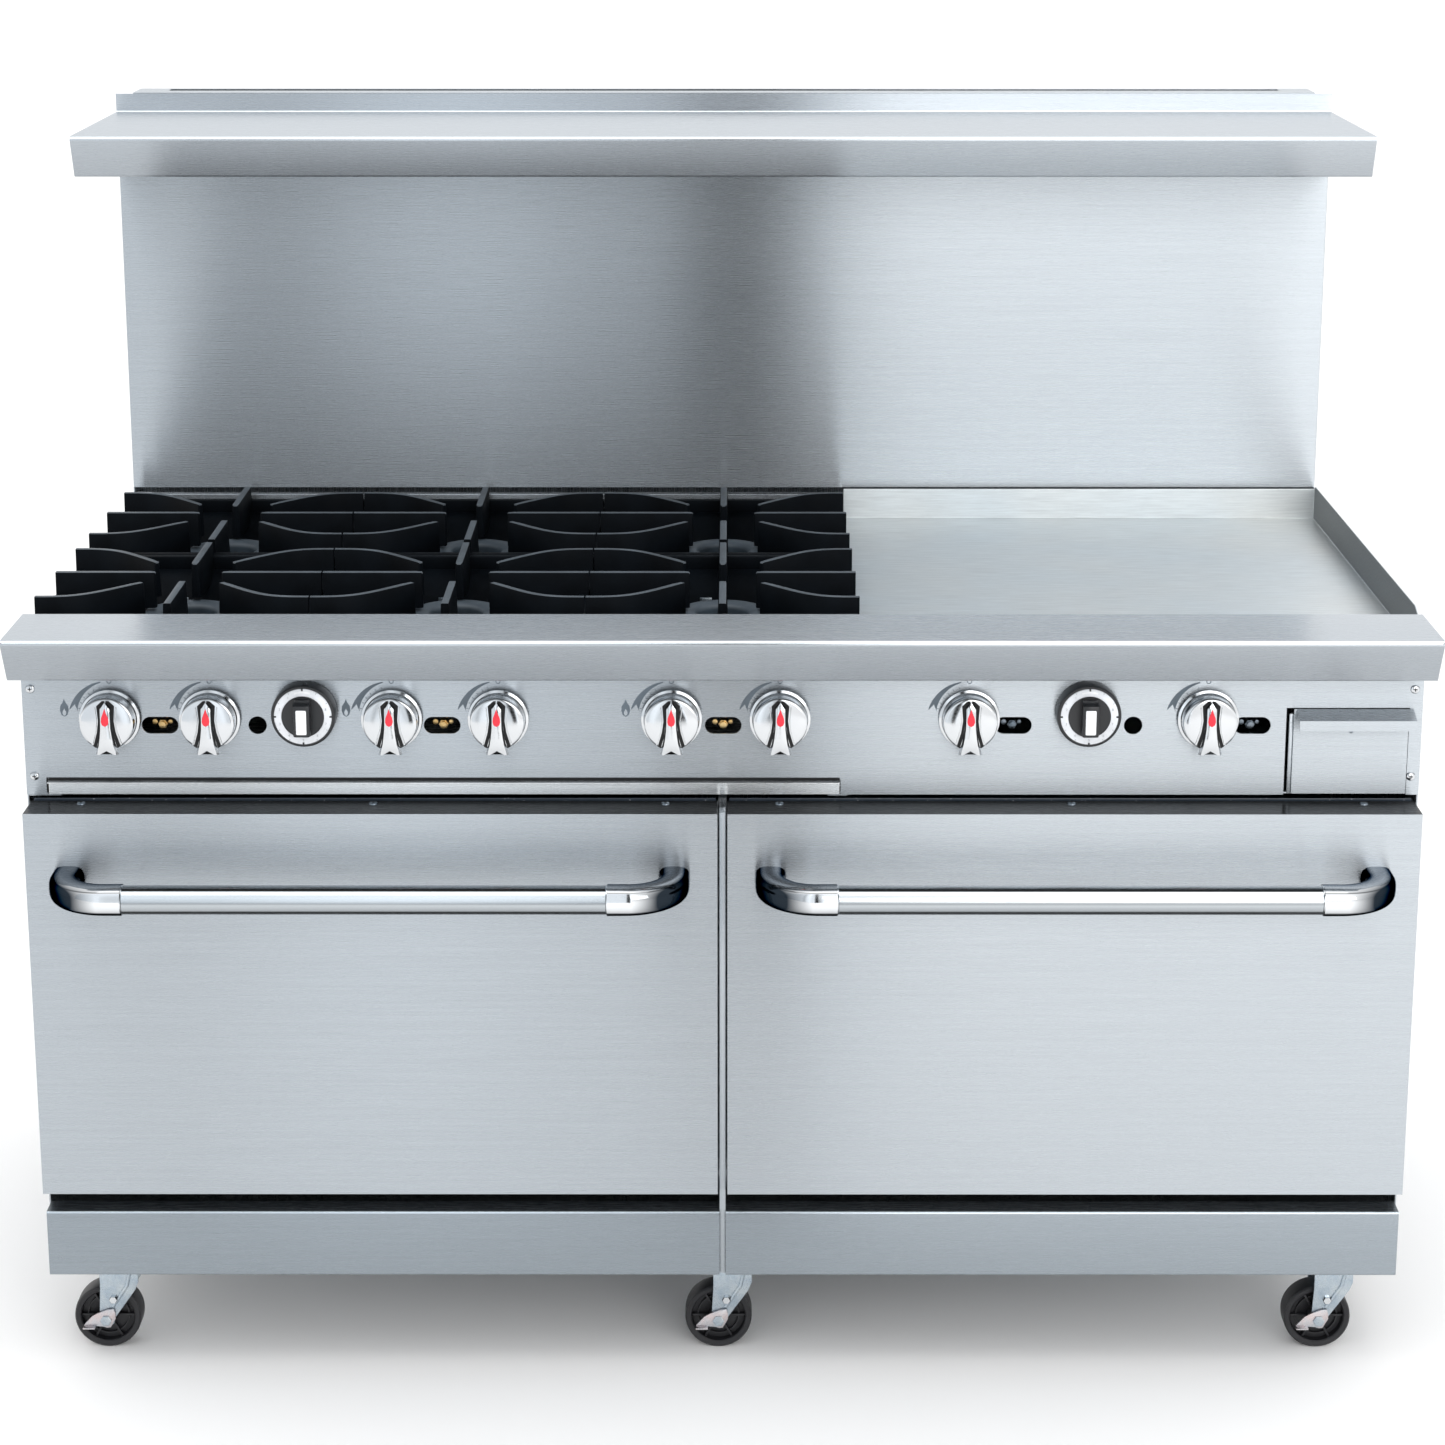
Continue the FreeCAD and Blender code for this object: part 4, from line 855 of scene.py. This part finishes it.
def numerals(node, x):
    """Small plain numbers round a dial's ring."""
    for number in range(1, 9):
        name = "%s_number_%d" % (node, number)
        curve = bpy.data.curves.new(name, "FONT")
        curve.body = str(number)
        curve.size = 3.8 * MM
        curve.align_x = curve.align_y = "CENTER"
        curve.extrude = 0.1 * MM
        curve.materials.append(number_grey)
        made = new_object(name, curve)
        angle = radians(90 + 36 * number)
        made.matrix_world = at(x + 26.2 * cos(angle), PANEL_Y - 22.95,
                               DIAL_Z + 26.2 * sin(angle)) @ TO_FRONT
        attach(made, node + "_body")


# ---- handles
def door_handles():
    """A brushed tube between two polished elbows."""
    radius, half = 15.5, 257.6
    for side in SIDES:
        node = "door_handle_" + side
        low, high = box(node)
        centre = Vector(((low.x + high.x) / 2, low.y + radius, (low.z + high.z) / 2))
        piece = Piece(node + "_look")
        tube = lathe_part([(0, -half), (radius - 0.6, -half), (radius, -half + 0.6),
                           (radius, half - 0.6), (radius - 0.6, half), (0, half)], 64)
        piece.take(tube, tube_steel, at(*centre) @ TO_SIDE)
        for hand in (-1, 1):
            elbow = elbow_part(hand, radius + 0.6, half, high.y - centre.y, high.x - centre.x)
            piece.take(elbow, elbow_chrome, at(*centre))
            collar_x = centre.x + hand * (half + 1.2) - 1.1
            piece.take(rod_part(radius + 0.5, 2.2, 64), chrome,
                       at(collar_x, centre.y, centre.z) @ TO_SIDE)
        piece.done("door_" + side, "handle_metal", [node], sharp=40)


def elbow_part(hand, radius, half, reach, toe):
    """A swept elbow with a flattened top and front, from the tube's end to its foot."""
    around, foot = 40, 17
    start, corner = Vector((half + 1, 0)), Vector((toe - foot, 0))
    end = Vector((toe - foot, reach))
    path = [start, start.lerp(corner, 0.2), *rounded_corner(start, corner, end, 50, 18),
            corner.lerp(end, 0.8), end]
    last = len(path) - 1
    rings = []
    for k, point in enumerate(path):
        share = k / last
        tangent = (path[min(k + 1, last)] - path[max(k - 1, 0)]).normalized()
        side = Vector((tangent.y, -tangent.x))
        wide = radius + (foot - radius) * share
        tall = radius - 1.6 * share
        power = 0.74 - 0.10 * share
        ring = []
        for out, rise in circle(around):
            spot = point + side * wide * copysign(abs(out) ** power, out)
            ring.append((hand * spot.x, spot.y, tall * copysign(abs(rise) ** power, rise)))
        rings.append(ring)
    return loft_part(rings)


# ---- grates
def rib_part(line, top_width, foot_width):
    """A cast rib along a flat line: draft on its sides, a rounded crown, a soft tip."""
    line = [Vector(point) for point in line]
    low, top = GRATE_LOW, GRATE_TOP
    crown, foot = top_width / 2, foot_width / 2
    section = mirrored([(foot, low), (crown, top - 1.3), (crown - 0.35, top - 0.4),
                        (crown - 1.2, top)])
    last = len(line) - 1
    rings = []
    for i, point in enumerate(line):
        along = (line[min(i + 1, last)] - line[max(i - 1, 0)]).normalized()
        if i == last:
            section = [(s * 0.86, min(h, top - 0.6)) for s, h in section]
        rings.append([(point.x - along.y * s, point.y + along.x * s, h) for s, h in section])
    inward = (line[-1] - line[-2]).normalized() * 1.2
    tip = line[-1] + inward
    rings.append([(tip.x + (x + inward.x - tip.x) * 0.6, tip.y + (y + inward.y - tip.y) * 0.6,
                   low + (h - low) * 0.97) for x, y, h in rings[-1]])
    return loft_part(rings)


def curve_points(corners, steps):
    """A smooth flat curve through Bezier control corners."""
    points = []
    for k in range(steps + 1):
        layer = [Vector(corner) for corner in corners]
        while len(layer) > 1:
            layer = [a.lerp(b, k / steps) for a, b in zip(layer, layer[1:])]
        points.append(tuple(layer[0]))
    return points


def bowl_part(half, rim, opening, floor, thick):
    """The grate's bowl: from a rounded square rim down to a round mouth with a skirt."""
    around, levels = 96, 10
    upper = []
    for level in range(levels + 1):
        share = level / levels
        ease = share * share * (3 - 2 * share)
        height = rim + (floor - rim) * (0.15 * share + 0.85 * ease)
        ring = []
        for x, y in circle(around):
            rounded = min(half / max(abs(x), abs(y)), half * 1.32)
            reach = rounded + (opening - rounded) * share
            ring.append((reach * x, reach * y, height))
        upper.append(ring)
    skirt = [(x, y, floor - 3) for x, y, _ in upper[-1]]
    lip = [(x * 1.06, y * 1.06, floor - 3) for x, y, _ in upper[-1]]
    under = [[(x, y, z - thick) for x, y, z in ring] for ring in upper[:-1]]
    return loft_part(upper + [skirt, lip] + under[::-1], looped=True)


def grate_mesh(half):
    """One cast top grate about its own middle."""
    piece = Piece("grate")
    bar = 11
    rim, side_rim = 853, 845
    for sign in (-1, 1):
        start, end = sorted((sign * half, sign * (half - bar)))
        piece.take(box_part((-half, start, GRATE_LOW), (half, end, rim), 1.6, 3), iron)
        piece.take(box_part((start, -half, GRATE_LOW), (end, half, side_rim), 1.6, 3), iron)
    piece.take(bowl_part(half - bar + 1, 838, 63, 808, 4), iron)
    inner = half - bar * 0.6
    tip = 39
    wide, foot = 8.4, 12

    def straight(start, end):
        start, end = Vector(start), Vector(end)
        return [start.lerp(end, share) for share in (0, 0.25, 0.5, 0.75, 0.94, 1)]

    for sign in (-1, 1):
        piece.take(rib_part(straight((sign * half, 0), (sign * tip, 0)), wide, foot), iron)
        piece.take(rib_part(straight((0, sign * inner), (0, sign * (tip + 3))), wide, foot),
                   iron)
        for way in (-1, 1):
            corners = [(half, 113), (122, 113), (104, 113), (88, 96), (72, 78), (45, 48)]
            line = [(sign * x, way * y) for x, y in curve_points(corners, 14)]
            piece.take(rib_part(line, wide - 1, foot - 1), iron)
    return piece


def grates():
    """Six grates that share one mesh."""
    shared = Shared(grate_mesh)
    for row in ROWS:
        for column in COLUMNS:
            node = "grate_%s_%s" % (row, column)
            low, high = box(node)
            centre = middle(node)
            shared.put(node, node + "_body", "cast_iron", at(centre.x, centre.y, 0),
                       (high.x - low.x) / 2, sharp=26)


def burners():
    """Six cast burner heads with mixing tubes, ports and shutters."""
    piece = Piece("burner_castings")
    start = box("open_burners")[0].y
    head = [(27.5, 790), (27.5, 795), (29, 799), (29, 816), (30.5, 820), (33, 822.4),
            (40, 824.2), (47, 824.6), (51, 823.4), (53.6, 820.5), (54, 816), (54, 800),
            (51, 794.5), (44, 792), (27.5, 790)]
    floor = [(0, 790), (29, 790), (29, 796), (0, 799)]
    neck = [(0, 760), (13, 760), (15, 768), (22, 790), (26, 794), (0, 794)]
    shutter = [(15, 0), (17.5, 0), (17.5, 9), (15, 9), (15, 0)]
    tube_z = 772
    for row in ROWS:
        for column in COLUMNS:
            x, y, _ = middle("grate_%s_%s" % (row, column))
            spot = at(x, y, 0)
            piece.take(lathe_part(head, 80), burner_iron, spot)
            piece.take(lathe_part(floor, 48), burner_iron, spot)
            # Painted shadow: each port is a small black disc on the head.
            for k in range(18):
                place = turned(20 * k + 10, "Z") @ at(28.6, 0, 811) @ turned(-90, "Y")
                piece.take(rod_part(2.0, 0.8, 12), painted_shadow_black, spot @ place)
            side = 57 if row == "rear" else -57
            feed = x + side
            path = [(feed, start, tube_z), (feed, start + 18, tube_z), (feed, y - 50, tube_z),
                    (feed - side * 0.1, y - 24, tube_z), (feed - side * 0.4, y - 6, tube_z),
                    (x + side * 0.25, y, tube_z), (x, y, tube_z)]
            piece.take(tube_part(path, 14.5, 24), burner_iron)
            piece.take(lathe_part(neck, 40), burner_iron, spot)
            piece.take(lathe_part(shutter, 32), dark_steel,
                       at(feed, start + 9.5, tube_z) @ TO_FRONT)
    piece.done("range", "cast_iron", ["open_burners"], sharp=38)


def pilots():
    """A small pilot tube that stands beside each pair of burners."""
    piece = Piece("pilot_tubes")
    for column in COLUMNS:
        x = middle("grate_front_" + column).x - 20
        for row, step in (("front", 66), ("rear", -66)):
            y = middle("grate_%s_%s" % (row, column)).y + step
            path = [(x, PANEL_Y + 60, 786), (x, y - 12, 786), (x, y, 790), (x, y, 812)]
            piece.take(tube_part(path, 3.2, 12), zinc)
            piece.take(box_part((x - 7, y - 1, 806), (x + 7, y + 1, 822), 0.4), zinc)
    piece.done("range", "zinc")


# ---- casters
def hex_part(width, height):
    """A hexagon head with a chamfered top, along Z."""
    return loft_part([[(x, y, level) for x, y in circle(6, width / 2 * share)]
                      for level, share in ((0, 1.0), (height * 0.75, 1.0), (height, 0.86))])


def wheel_mesh(radius):
    """A moulded wheel about its axle, lying along Z: tread, webs, spokes, hub."""
    piece = Piece("wheel")
    rim = radius - 6.5
    tread = [(rim, -13.2), (radius - 2.2, -14), (radius - 0.5, -12.4), (radius, -9),
             (radius, 9), (radius - 0.5, 12.4), (radius - 2.2, 14), (rim, 13.2),
             (rim - 1.2, 12), (rim - 1.8, 5), (rim - 1.8, -5), (rim - 1.2, -12), (rim, -13.2)]
    piece.take(lathe_part(tread, 96), wheel_plastic)
    piece.take(lathe_part([(0, -4), (rim, -4), (rim, 4), (0, 4)], 72), wheel_plastic)
    for side in (-1, 1):
        near, far = side * 3, side * 7.5
        ring = [(rim - 9, near), (rim - 7.4, near), (rim - 7.4, far), (rim - 9, far),
                (rim - 9, near)]
        piece.take(lathe_part(ring, 72), wheel_plastic)
        low, high = sorted((near, side * 9.5))
        for degrees in range(0, 360, 60):
            spoke = box_part((8, -1.3, low), (rim - 0.5, 1.3, high), 0.5)
            piece.take(spoke, wheel_plastic, turned(degrees, "Z"))
    hub = [(0, -16), (9, -16), (10.5, -14.5), (11, 0), (10.5, 14.5), (9, 16), (0, 16)]
    piece.take(lathe_part(hub, 48), wheel_plastic)
    return piece


def fork_mesh(top, axle, trail):
    """A pressed swivel fork about its swivel axis: race, crown, tapering legs, fasteners."""
    piece = Piece("fork")
    metal, gap = 3, 17.5
    race = [(6.2, top - 3), (22, top - 3), (24, top - 1.5), (24, top - 0.8), (22.5, top),
            (6.2, top), (6.2, top - 3)]
    piece.take(lathe_part(race, 64), zinc)
    leg = [(22, top), (22, 84), (18, 74), (-5, 41), (-8, 32), (-13, 28.6), (-20, 28.6),
           (-24, 33), (-24, 42), (-22, 78), (-22, top)]
    for side, outward in ((-1, TO_FRONT), (1, TO_BACK)):
        outside = side * (gap + metal)
        piece.take(prism_part(leg, metal, 0.8), zinc, at(0, min(outside, side * gap), 0))
        rib = tube_part([(14, 0, top - 4), (9, 0, 80), (-8, 0, 54)], 2.2, 12)
        piece.take(rib, zinc, at(0, outside, 0))
        piece.take(hex_part(13, 2.4), zinc, at(-trail, outside + side * 3.6, axle) @ outward)
        piece.take(hex_part(10, 3.6), chrome, at(-7, outside, 63) @ outward)
    piece.take(box_part((-22, -gap - metal, top - metal), (22, gap + metal, top), 0.8), zinc)
    pin = lathe_part([(0, -23.6), (4, -23.6), (4, 20.5), (0, 20.5)], 24)
    piece.take(pin, zinc, at(-trail, 0, axle) @ TO_BACK)
    return piece


def lever_mesh():
    """A bent brake lever about the axle."""
    piece = Piece("lever")
    outline = [(-26, -7), (-24.5, -4.5), (-16, 5), (-9, 9), (2, 13), (9, 14), (11, 8), (11, 2),
               (7, -5), (5, -9), (1, -9.5), (-4, -8), (-12, -7.4)]
    piece.take(prism_part(outline, 2.6, 0.6), pink_zinc)
    piece.take(box_part((-26, -6, -8.6), (-12, 1.4, -6.6), 0.6), pink_zinc)
    return piece


def casters():
    """Six swivel casters; the front ones have brake levers."""
    wheels, forks, levers = Shared(wheel_mesh), Shared(fork_mesh), Shared(lever_mesh)
    for row in ROWS:
        for column in COLUMNS:
            place = "%s_%s" % (row, column)
            fork_top = box("caster_fork_" + place)[1]
            axle = middle("caster_wheel_" + place)
            radius = box("caster_wheel_" + place)[1].z - axle.z
            swivel_x = fork_top.x - 24
            wheels.put("caster_wheel_" + place, "wheel_" + place, "black_plastic",
                       at(*axle) @ TO_FRONT, radius)
            forks.put("caster_fork_" + place, "fork_" + place, "zinc",
                      at(swivel_x, axle.y, 0), fork_top.z, radius, swivel_x - axle.x)
            if row == "front":
                lever_y = box("brake_lever_" + column)[0].y
                levers.put("brake_lever_" + column, "brake_" + column, "zinc",
                           at(axle.x, lever_y, axle.z))


# ---- small parts
def take_screw(piece, place, metal):
    """A domed screw head with a cross recess, along Z."""
    dome = [(0, -0.5), (5, -0.5), (5, 0.5), (4.4, 1.6), (3, 2.3), (0, 2.6)]
    piece.take(lathe_part(dome, 32), metal, place)
    # Painted shadow: the cross recess is two black bars.
    for length, width in ((2.1, 0.45), (0.45, 2.1)):
        slot = box_part((-length, -width, 2.2), (length, width, 2.75))
        piece.take(slot, painted_shadow_black, place)


def screw_heads():
    """The panel's and the doors' screws."""
    low, high = box("panel_screws")
    piece = Piece("panel_screw_heads")
    for x in (low.x + 5, high.x - 5):
        for z in (low.z + 5, high.z - 5):
            take_screw(piece, at(x, PANEL_Y, z) @ TO_FRONT, chrome)
    piece.done("range", "zinc", ["panel_screws"])
    for side in SIDES:
        node = "door_screws_" + side
        low, high = box(node)
        piece = Piece(node + "_look")
        top = box("door_shell_" + side)[1].z
        for share in (0, 0.5, 1):
            x = low.x + 5 + (high.x - low.x - 10) * share
            # Painted shade: the door screws take the darker zinc, like the darkened flange they
            # sit on.
            take_screw(piece, at(x, (low.y + high.y) / 2, top), dark_zinc)
        piece.done("door_" + side, "zinc", [node])


def door_liners():
    """The door's inside: a raised panel with a rounded edge, and a flange."""
    for side in SIDES:
        node = "door_liner_" + side
        low, high = box(node)
        piece = Piece(node + "_look")
        back = high.y
        front = back - 7.8
        for block in (
                box_part((low.x, front, low.z), (high.x, back - 1.6, high.z), 1),
                box_part((low.x + 34, back - 3, low.z + 30),
                         (high.x - 34, back, high.z - 34), 1.4, 3),
                box_part((low.x + 3, low.y, high.z - 2), (high.x - 3, front + 1, high.z), 0.3)):
            piece.take(block, steel_dull)
        piece.done("door_" + side, "stainless", [node])


def louvres():
    """Slots in the rear skin."""
    back = box("body_panels")[1].y
    piece = Piece("rear_louvres")
    for x in (-420, 0, 420):
        for z in range(300, 476, 35):
            section = [(back - 0.4, z), (back + 4.5, z - 2), (back + 4.9, z - 1),
                       (back + 1.0, z + 9), (back - 0.4, z + 9.4)]
            piece.take(slab_part(section, x - 90, x + 90), steel_z)
            # Painted shadow: a black strip behind each slot.
            piece.take(box_part((x - 88, back - 0.3, z - 1.8), (x + 88, back + 3.6, z - 0.6)),
                       painted_shadow_black)
    piece.done("range", "stainless")


def skin_screws():
    """Screw rows on the back and the sides."""
    back = box("body_panels")[1].y
    riser_back = box("flue_riser")[1].y - 0.2
    piece = Piece("skin_screws")
    places = [at(x, back, z) @ TO_BACK for x in (-740, -250, 250, 740) for z in (160, 460, 780)]
    places += [at(x, riser_back, z) @ TO_BACK
               for x in (-720, -360, 0, 360, 720) for z in (900, 1120, 1330)]
    places += [at(side * HALF_WIDTH, y, z) @ turned(90 * side, "Y") for side in (-1, 1)
               for y in (PANEL_Y + 30, 50, back - 30) for z in (140, 760)]
    for place in places:
        dome = lathe_part([(0, 0), (4.5, 0), (4, 1.4), (0, 2.2)], 24)
        piece.take(dome, chrome, place)
    piece.done("range", "zinc")


def gas_inlet():
    """Threads on the inlet."""
    piece = Piece("inlet_thread")
    root = INLET_RADIUS - 1.2
    pitch, count = 1.8, 11
    profile = [(root, 0)]
    for k in range(count):
        profile += [(INLET_RADIUS - 0.7, k * pitch + 0.1),
                    (INLET_RADIUS + 0.15, (k + 0.5) * pitch)]
    profile += [(root, count * pitch), (root, 0)]
    start = box("gas_manifold")[1].y - count * pitch - 0.3
    piece.take(lathe_part(profile, 48), dark_steel, at(INLET_X, start, KNOB_Z) @ TO_BACK)
    piece.done("range", "dark_steel")


PILOT_VALVES = ((-612.8, brass), (-305.4, brass), (0.8, brass), (316.9, dark_zinc),
                (577.3, dark_zinc))


def pilot_valves():
    """Pilot valves behind the panel's slots."""
    piece = Piece("pilot_valves")
    y, z = PANEL_Y, PILOT_Z
    for x, metal in PILOT_VALVES:
        spot = at(x, y + 26, z) @ TO_FRONT
        piece.take(hex_part(12, 9), metal, spot)
        piece.take(lathe_part([(0, 0), (3.6, 0), (3.6, 13), (0, 13.6)], 24), metal, spot)
        feed = [(x, y + 30, z), (x + 9, y + 34, z + 14), (x + 9, y + 50, z + 38)]
        piece.take(tube_part(feed, 2.4, 12), metal)
        for shift, radius in ((-9, 3.0), (8, 2.4)):
            stub = lathe_part([(0, 0), (radius, 0), (radius, 5), (0, 5.5)], 16)
            piece.take(stub, metal, at(x + shift, y + 24, z + 2) @ TO_FRONT)
    piece.done("range", "brass")


# ---- whole model
for make in (front_ledge, high_shelf, kick_plates, small_strips, panel_marks, knobs, dials,
             door_handles, grates, burners, pilots, casters, screw_heads, door_liners, louvres,
             skin_screws, gas_inlet, pilot_valves):
    make()

for node, material, bevel in (
        ("control_panel", steel_x, 0.7), ("burner_box", steel_x, 0.7),
        ("flue_riser", steel_x, 0.7), ("drip_tray", steel_tray, 0.7),
        ("grease_drawer", steel_drawer, 0.7), ("body_panels", steel_z, 0.6),
        ("base_frame", dark_steel, 0.8), ("caster_plates", zinc, 0.6),
        ("gas_manifold", dark_steel, 0), ("gas_valves", brass, 0.8),
        ("tube_burners", dark_steel, 1)):
    cad_look(node, material, bevel)
cad_look("griddle", griddle_steel, 1.2, 3)
for side in SIDES:
    cad_look("door_shell_" + side, steel_door, 1.2, 3)
    cad_look("oven_liner_" + side, oven_enamel, 0.8)
    cad_look("oven_rack_" + side, wire_chrome, 0)


# ---- floor and light
# These places and sizes are in metres.
ROOM_LIGHT = 1.29
CARD_CENTRE = (-2.354, -3.0, 2.2)
CARD_HALF_SIZE = (2.6, 2.2)
CARD_SPAN = (-1.6, 0.246)    # where the card's bands start and end in X
CARD_TINT = (0.93, 0.98, 1.03)
CARD_BANDS = ((0.0, 1.05), (0.16, 1.1), (0.29, 0.70), (0.42, 1.30), (0.56, 1.45), (0.69, 1.0),
              (0.79, 1.05), (0.84, 0.0), (0.94, 0.0), (0.99, 2.0), (1.0, 2.0))


def stage_sheet(name, size, paint, place=None):
    """A flat square, or one moved and stretched by a matrix, that isn't part of the range."""
    part = bmesh.new()
    bmesh.ops.create_grid(part, x_segments=1, y_segments=1, size=size)
    if place is not None:
        part.transform(place)
    mesh = bpy.data.meshes.new(name)
    part.to_mesh(mesh)
    part.free()
    mesh.materials.append(paint.material)
    made = new_object(name, mesh)
    return made


def softbox(name, place, aim, size, power):
    """A large soft light aimed at a point."""
    lamp = bpy.data.lights.new(name, "AREA")
    lamp.shape = "RECTANGLE"
    lamp.size, lamp.size_y = size
    lamp.energy = power
    made = new_object(name, lamp)
    made.visible_camera = False
    made.location = place
    direction = Vector(aim) - Vector(place)
    made.rotation_euler = direction.to_track_quat("-Z", "Y").to_euler()


def reflection_card():
    """A grey card in front of the range's left half, that only glossy surfaces show."""
    paint = Shading("card_grey", (0.0, 0.0, 0.0), roughness=1.0)
    x = paint.along(paint.add("TexCoord").outputs["Object"], "X")
    bands = [(place, shade(CARD_TINT, grey)) for place, grey in CARD_BANDS]
    paint.set("Emission Color", paint.ramp(paint.span(x, 0, 1, *CARD_SPAN), bands))
    paint.plain("Emission Strength", 1.0)
    paint.plain("Specular IOR Level", 0.0)
    stretch = Matrix.Diagonal((*CARD_HALF_SIZE, 1, 1))
    place = Matrix.Translation(CARD_CENTRE) @ TO_FRONT @ stretch
    card = stage_sheet("reflection_card", 1, paint, place)
    card.visible_camera = card.visible_diffuse = False
    card.visible_shadow = card.visible_transmission = False


def studio():
    """A plain pale floor in a white room, with soft light from the right and from above."""
    stage_sheet("floor", 30, Shading("floor_pale", (0.92, 0.92, 0.92), roughness=0.8))
    world = bpy.data.worlds.new("studio")
    bpy.context.scene.world = world
    world.use_nodes = True
    background = world.node_tree.nodes["Background"]
    background.inputs["Color"].default_value = (1.0, 1.0, 1.0, 1)
    background.inputs["Strength"].default_value = ROOM_LIGHT
    reflection_card()
    softbox("panel_right", (1.7, -4.2, 2.0), (1.7, 0, 2.0), (2.7, 2.2), 41)
    softbox("overhead", (0.0, -1.2, 3.6), (0, -0.2, 0.8), (3.0, 1.2), 14)


def camera():
    """The camera, in front of the range and above it."""
    data = bpy.data.cameras.new("camera")
    made = new_object("camera", data)
    made.location = (9.8 * MM, -3.6, 1.735)
    made.rotation_euler = (radians(90 - 13.5), 0, radians(0.06))
    data.sensor_width = 36
    data.lens = 78.6
    data.shift_x = -0.004
    data.shift_y = -0.12
    bpy.context.scene.camera = made


studio()
camera()
bpy.context.scene.view_settings.view_transform = "Standard"
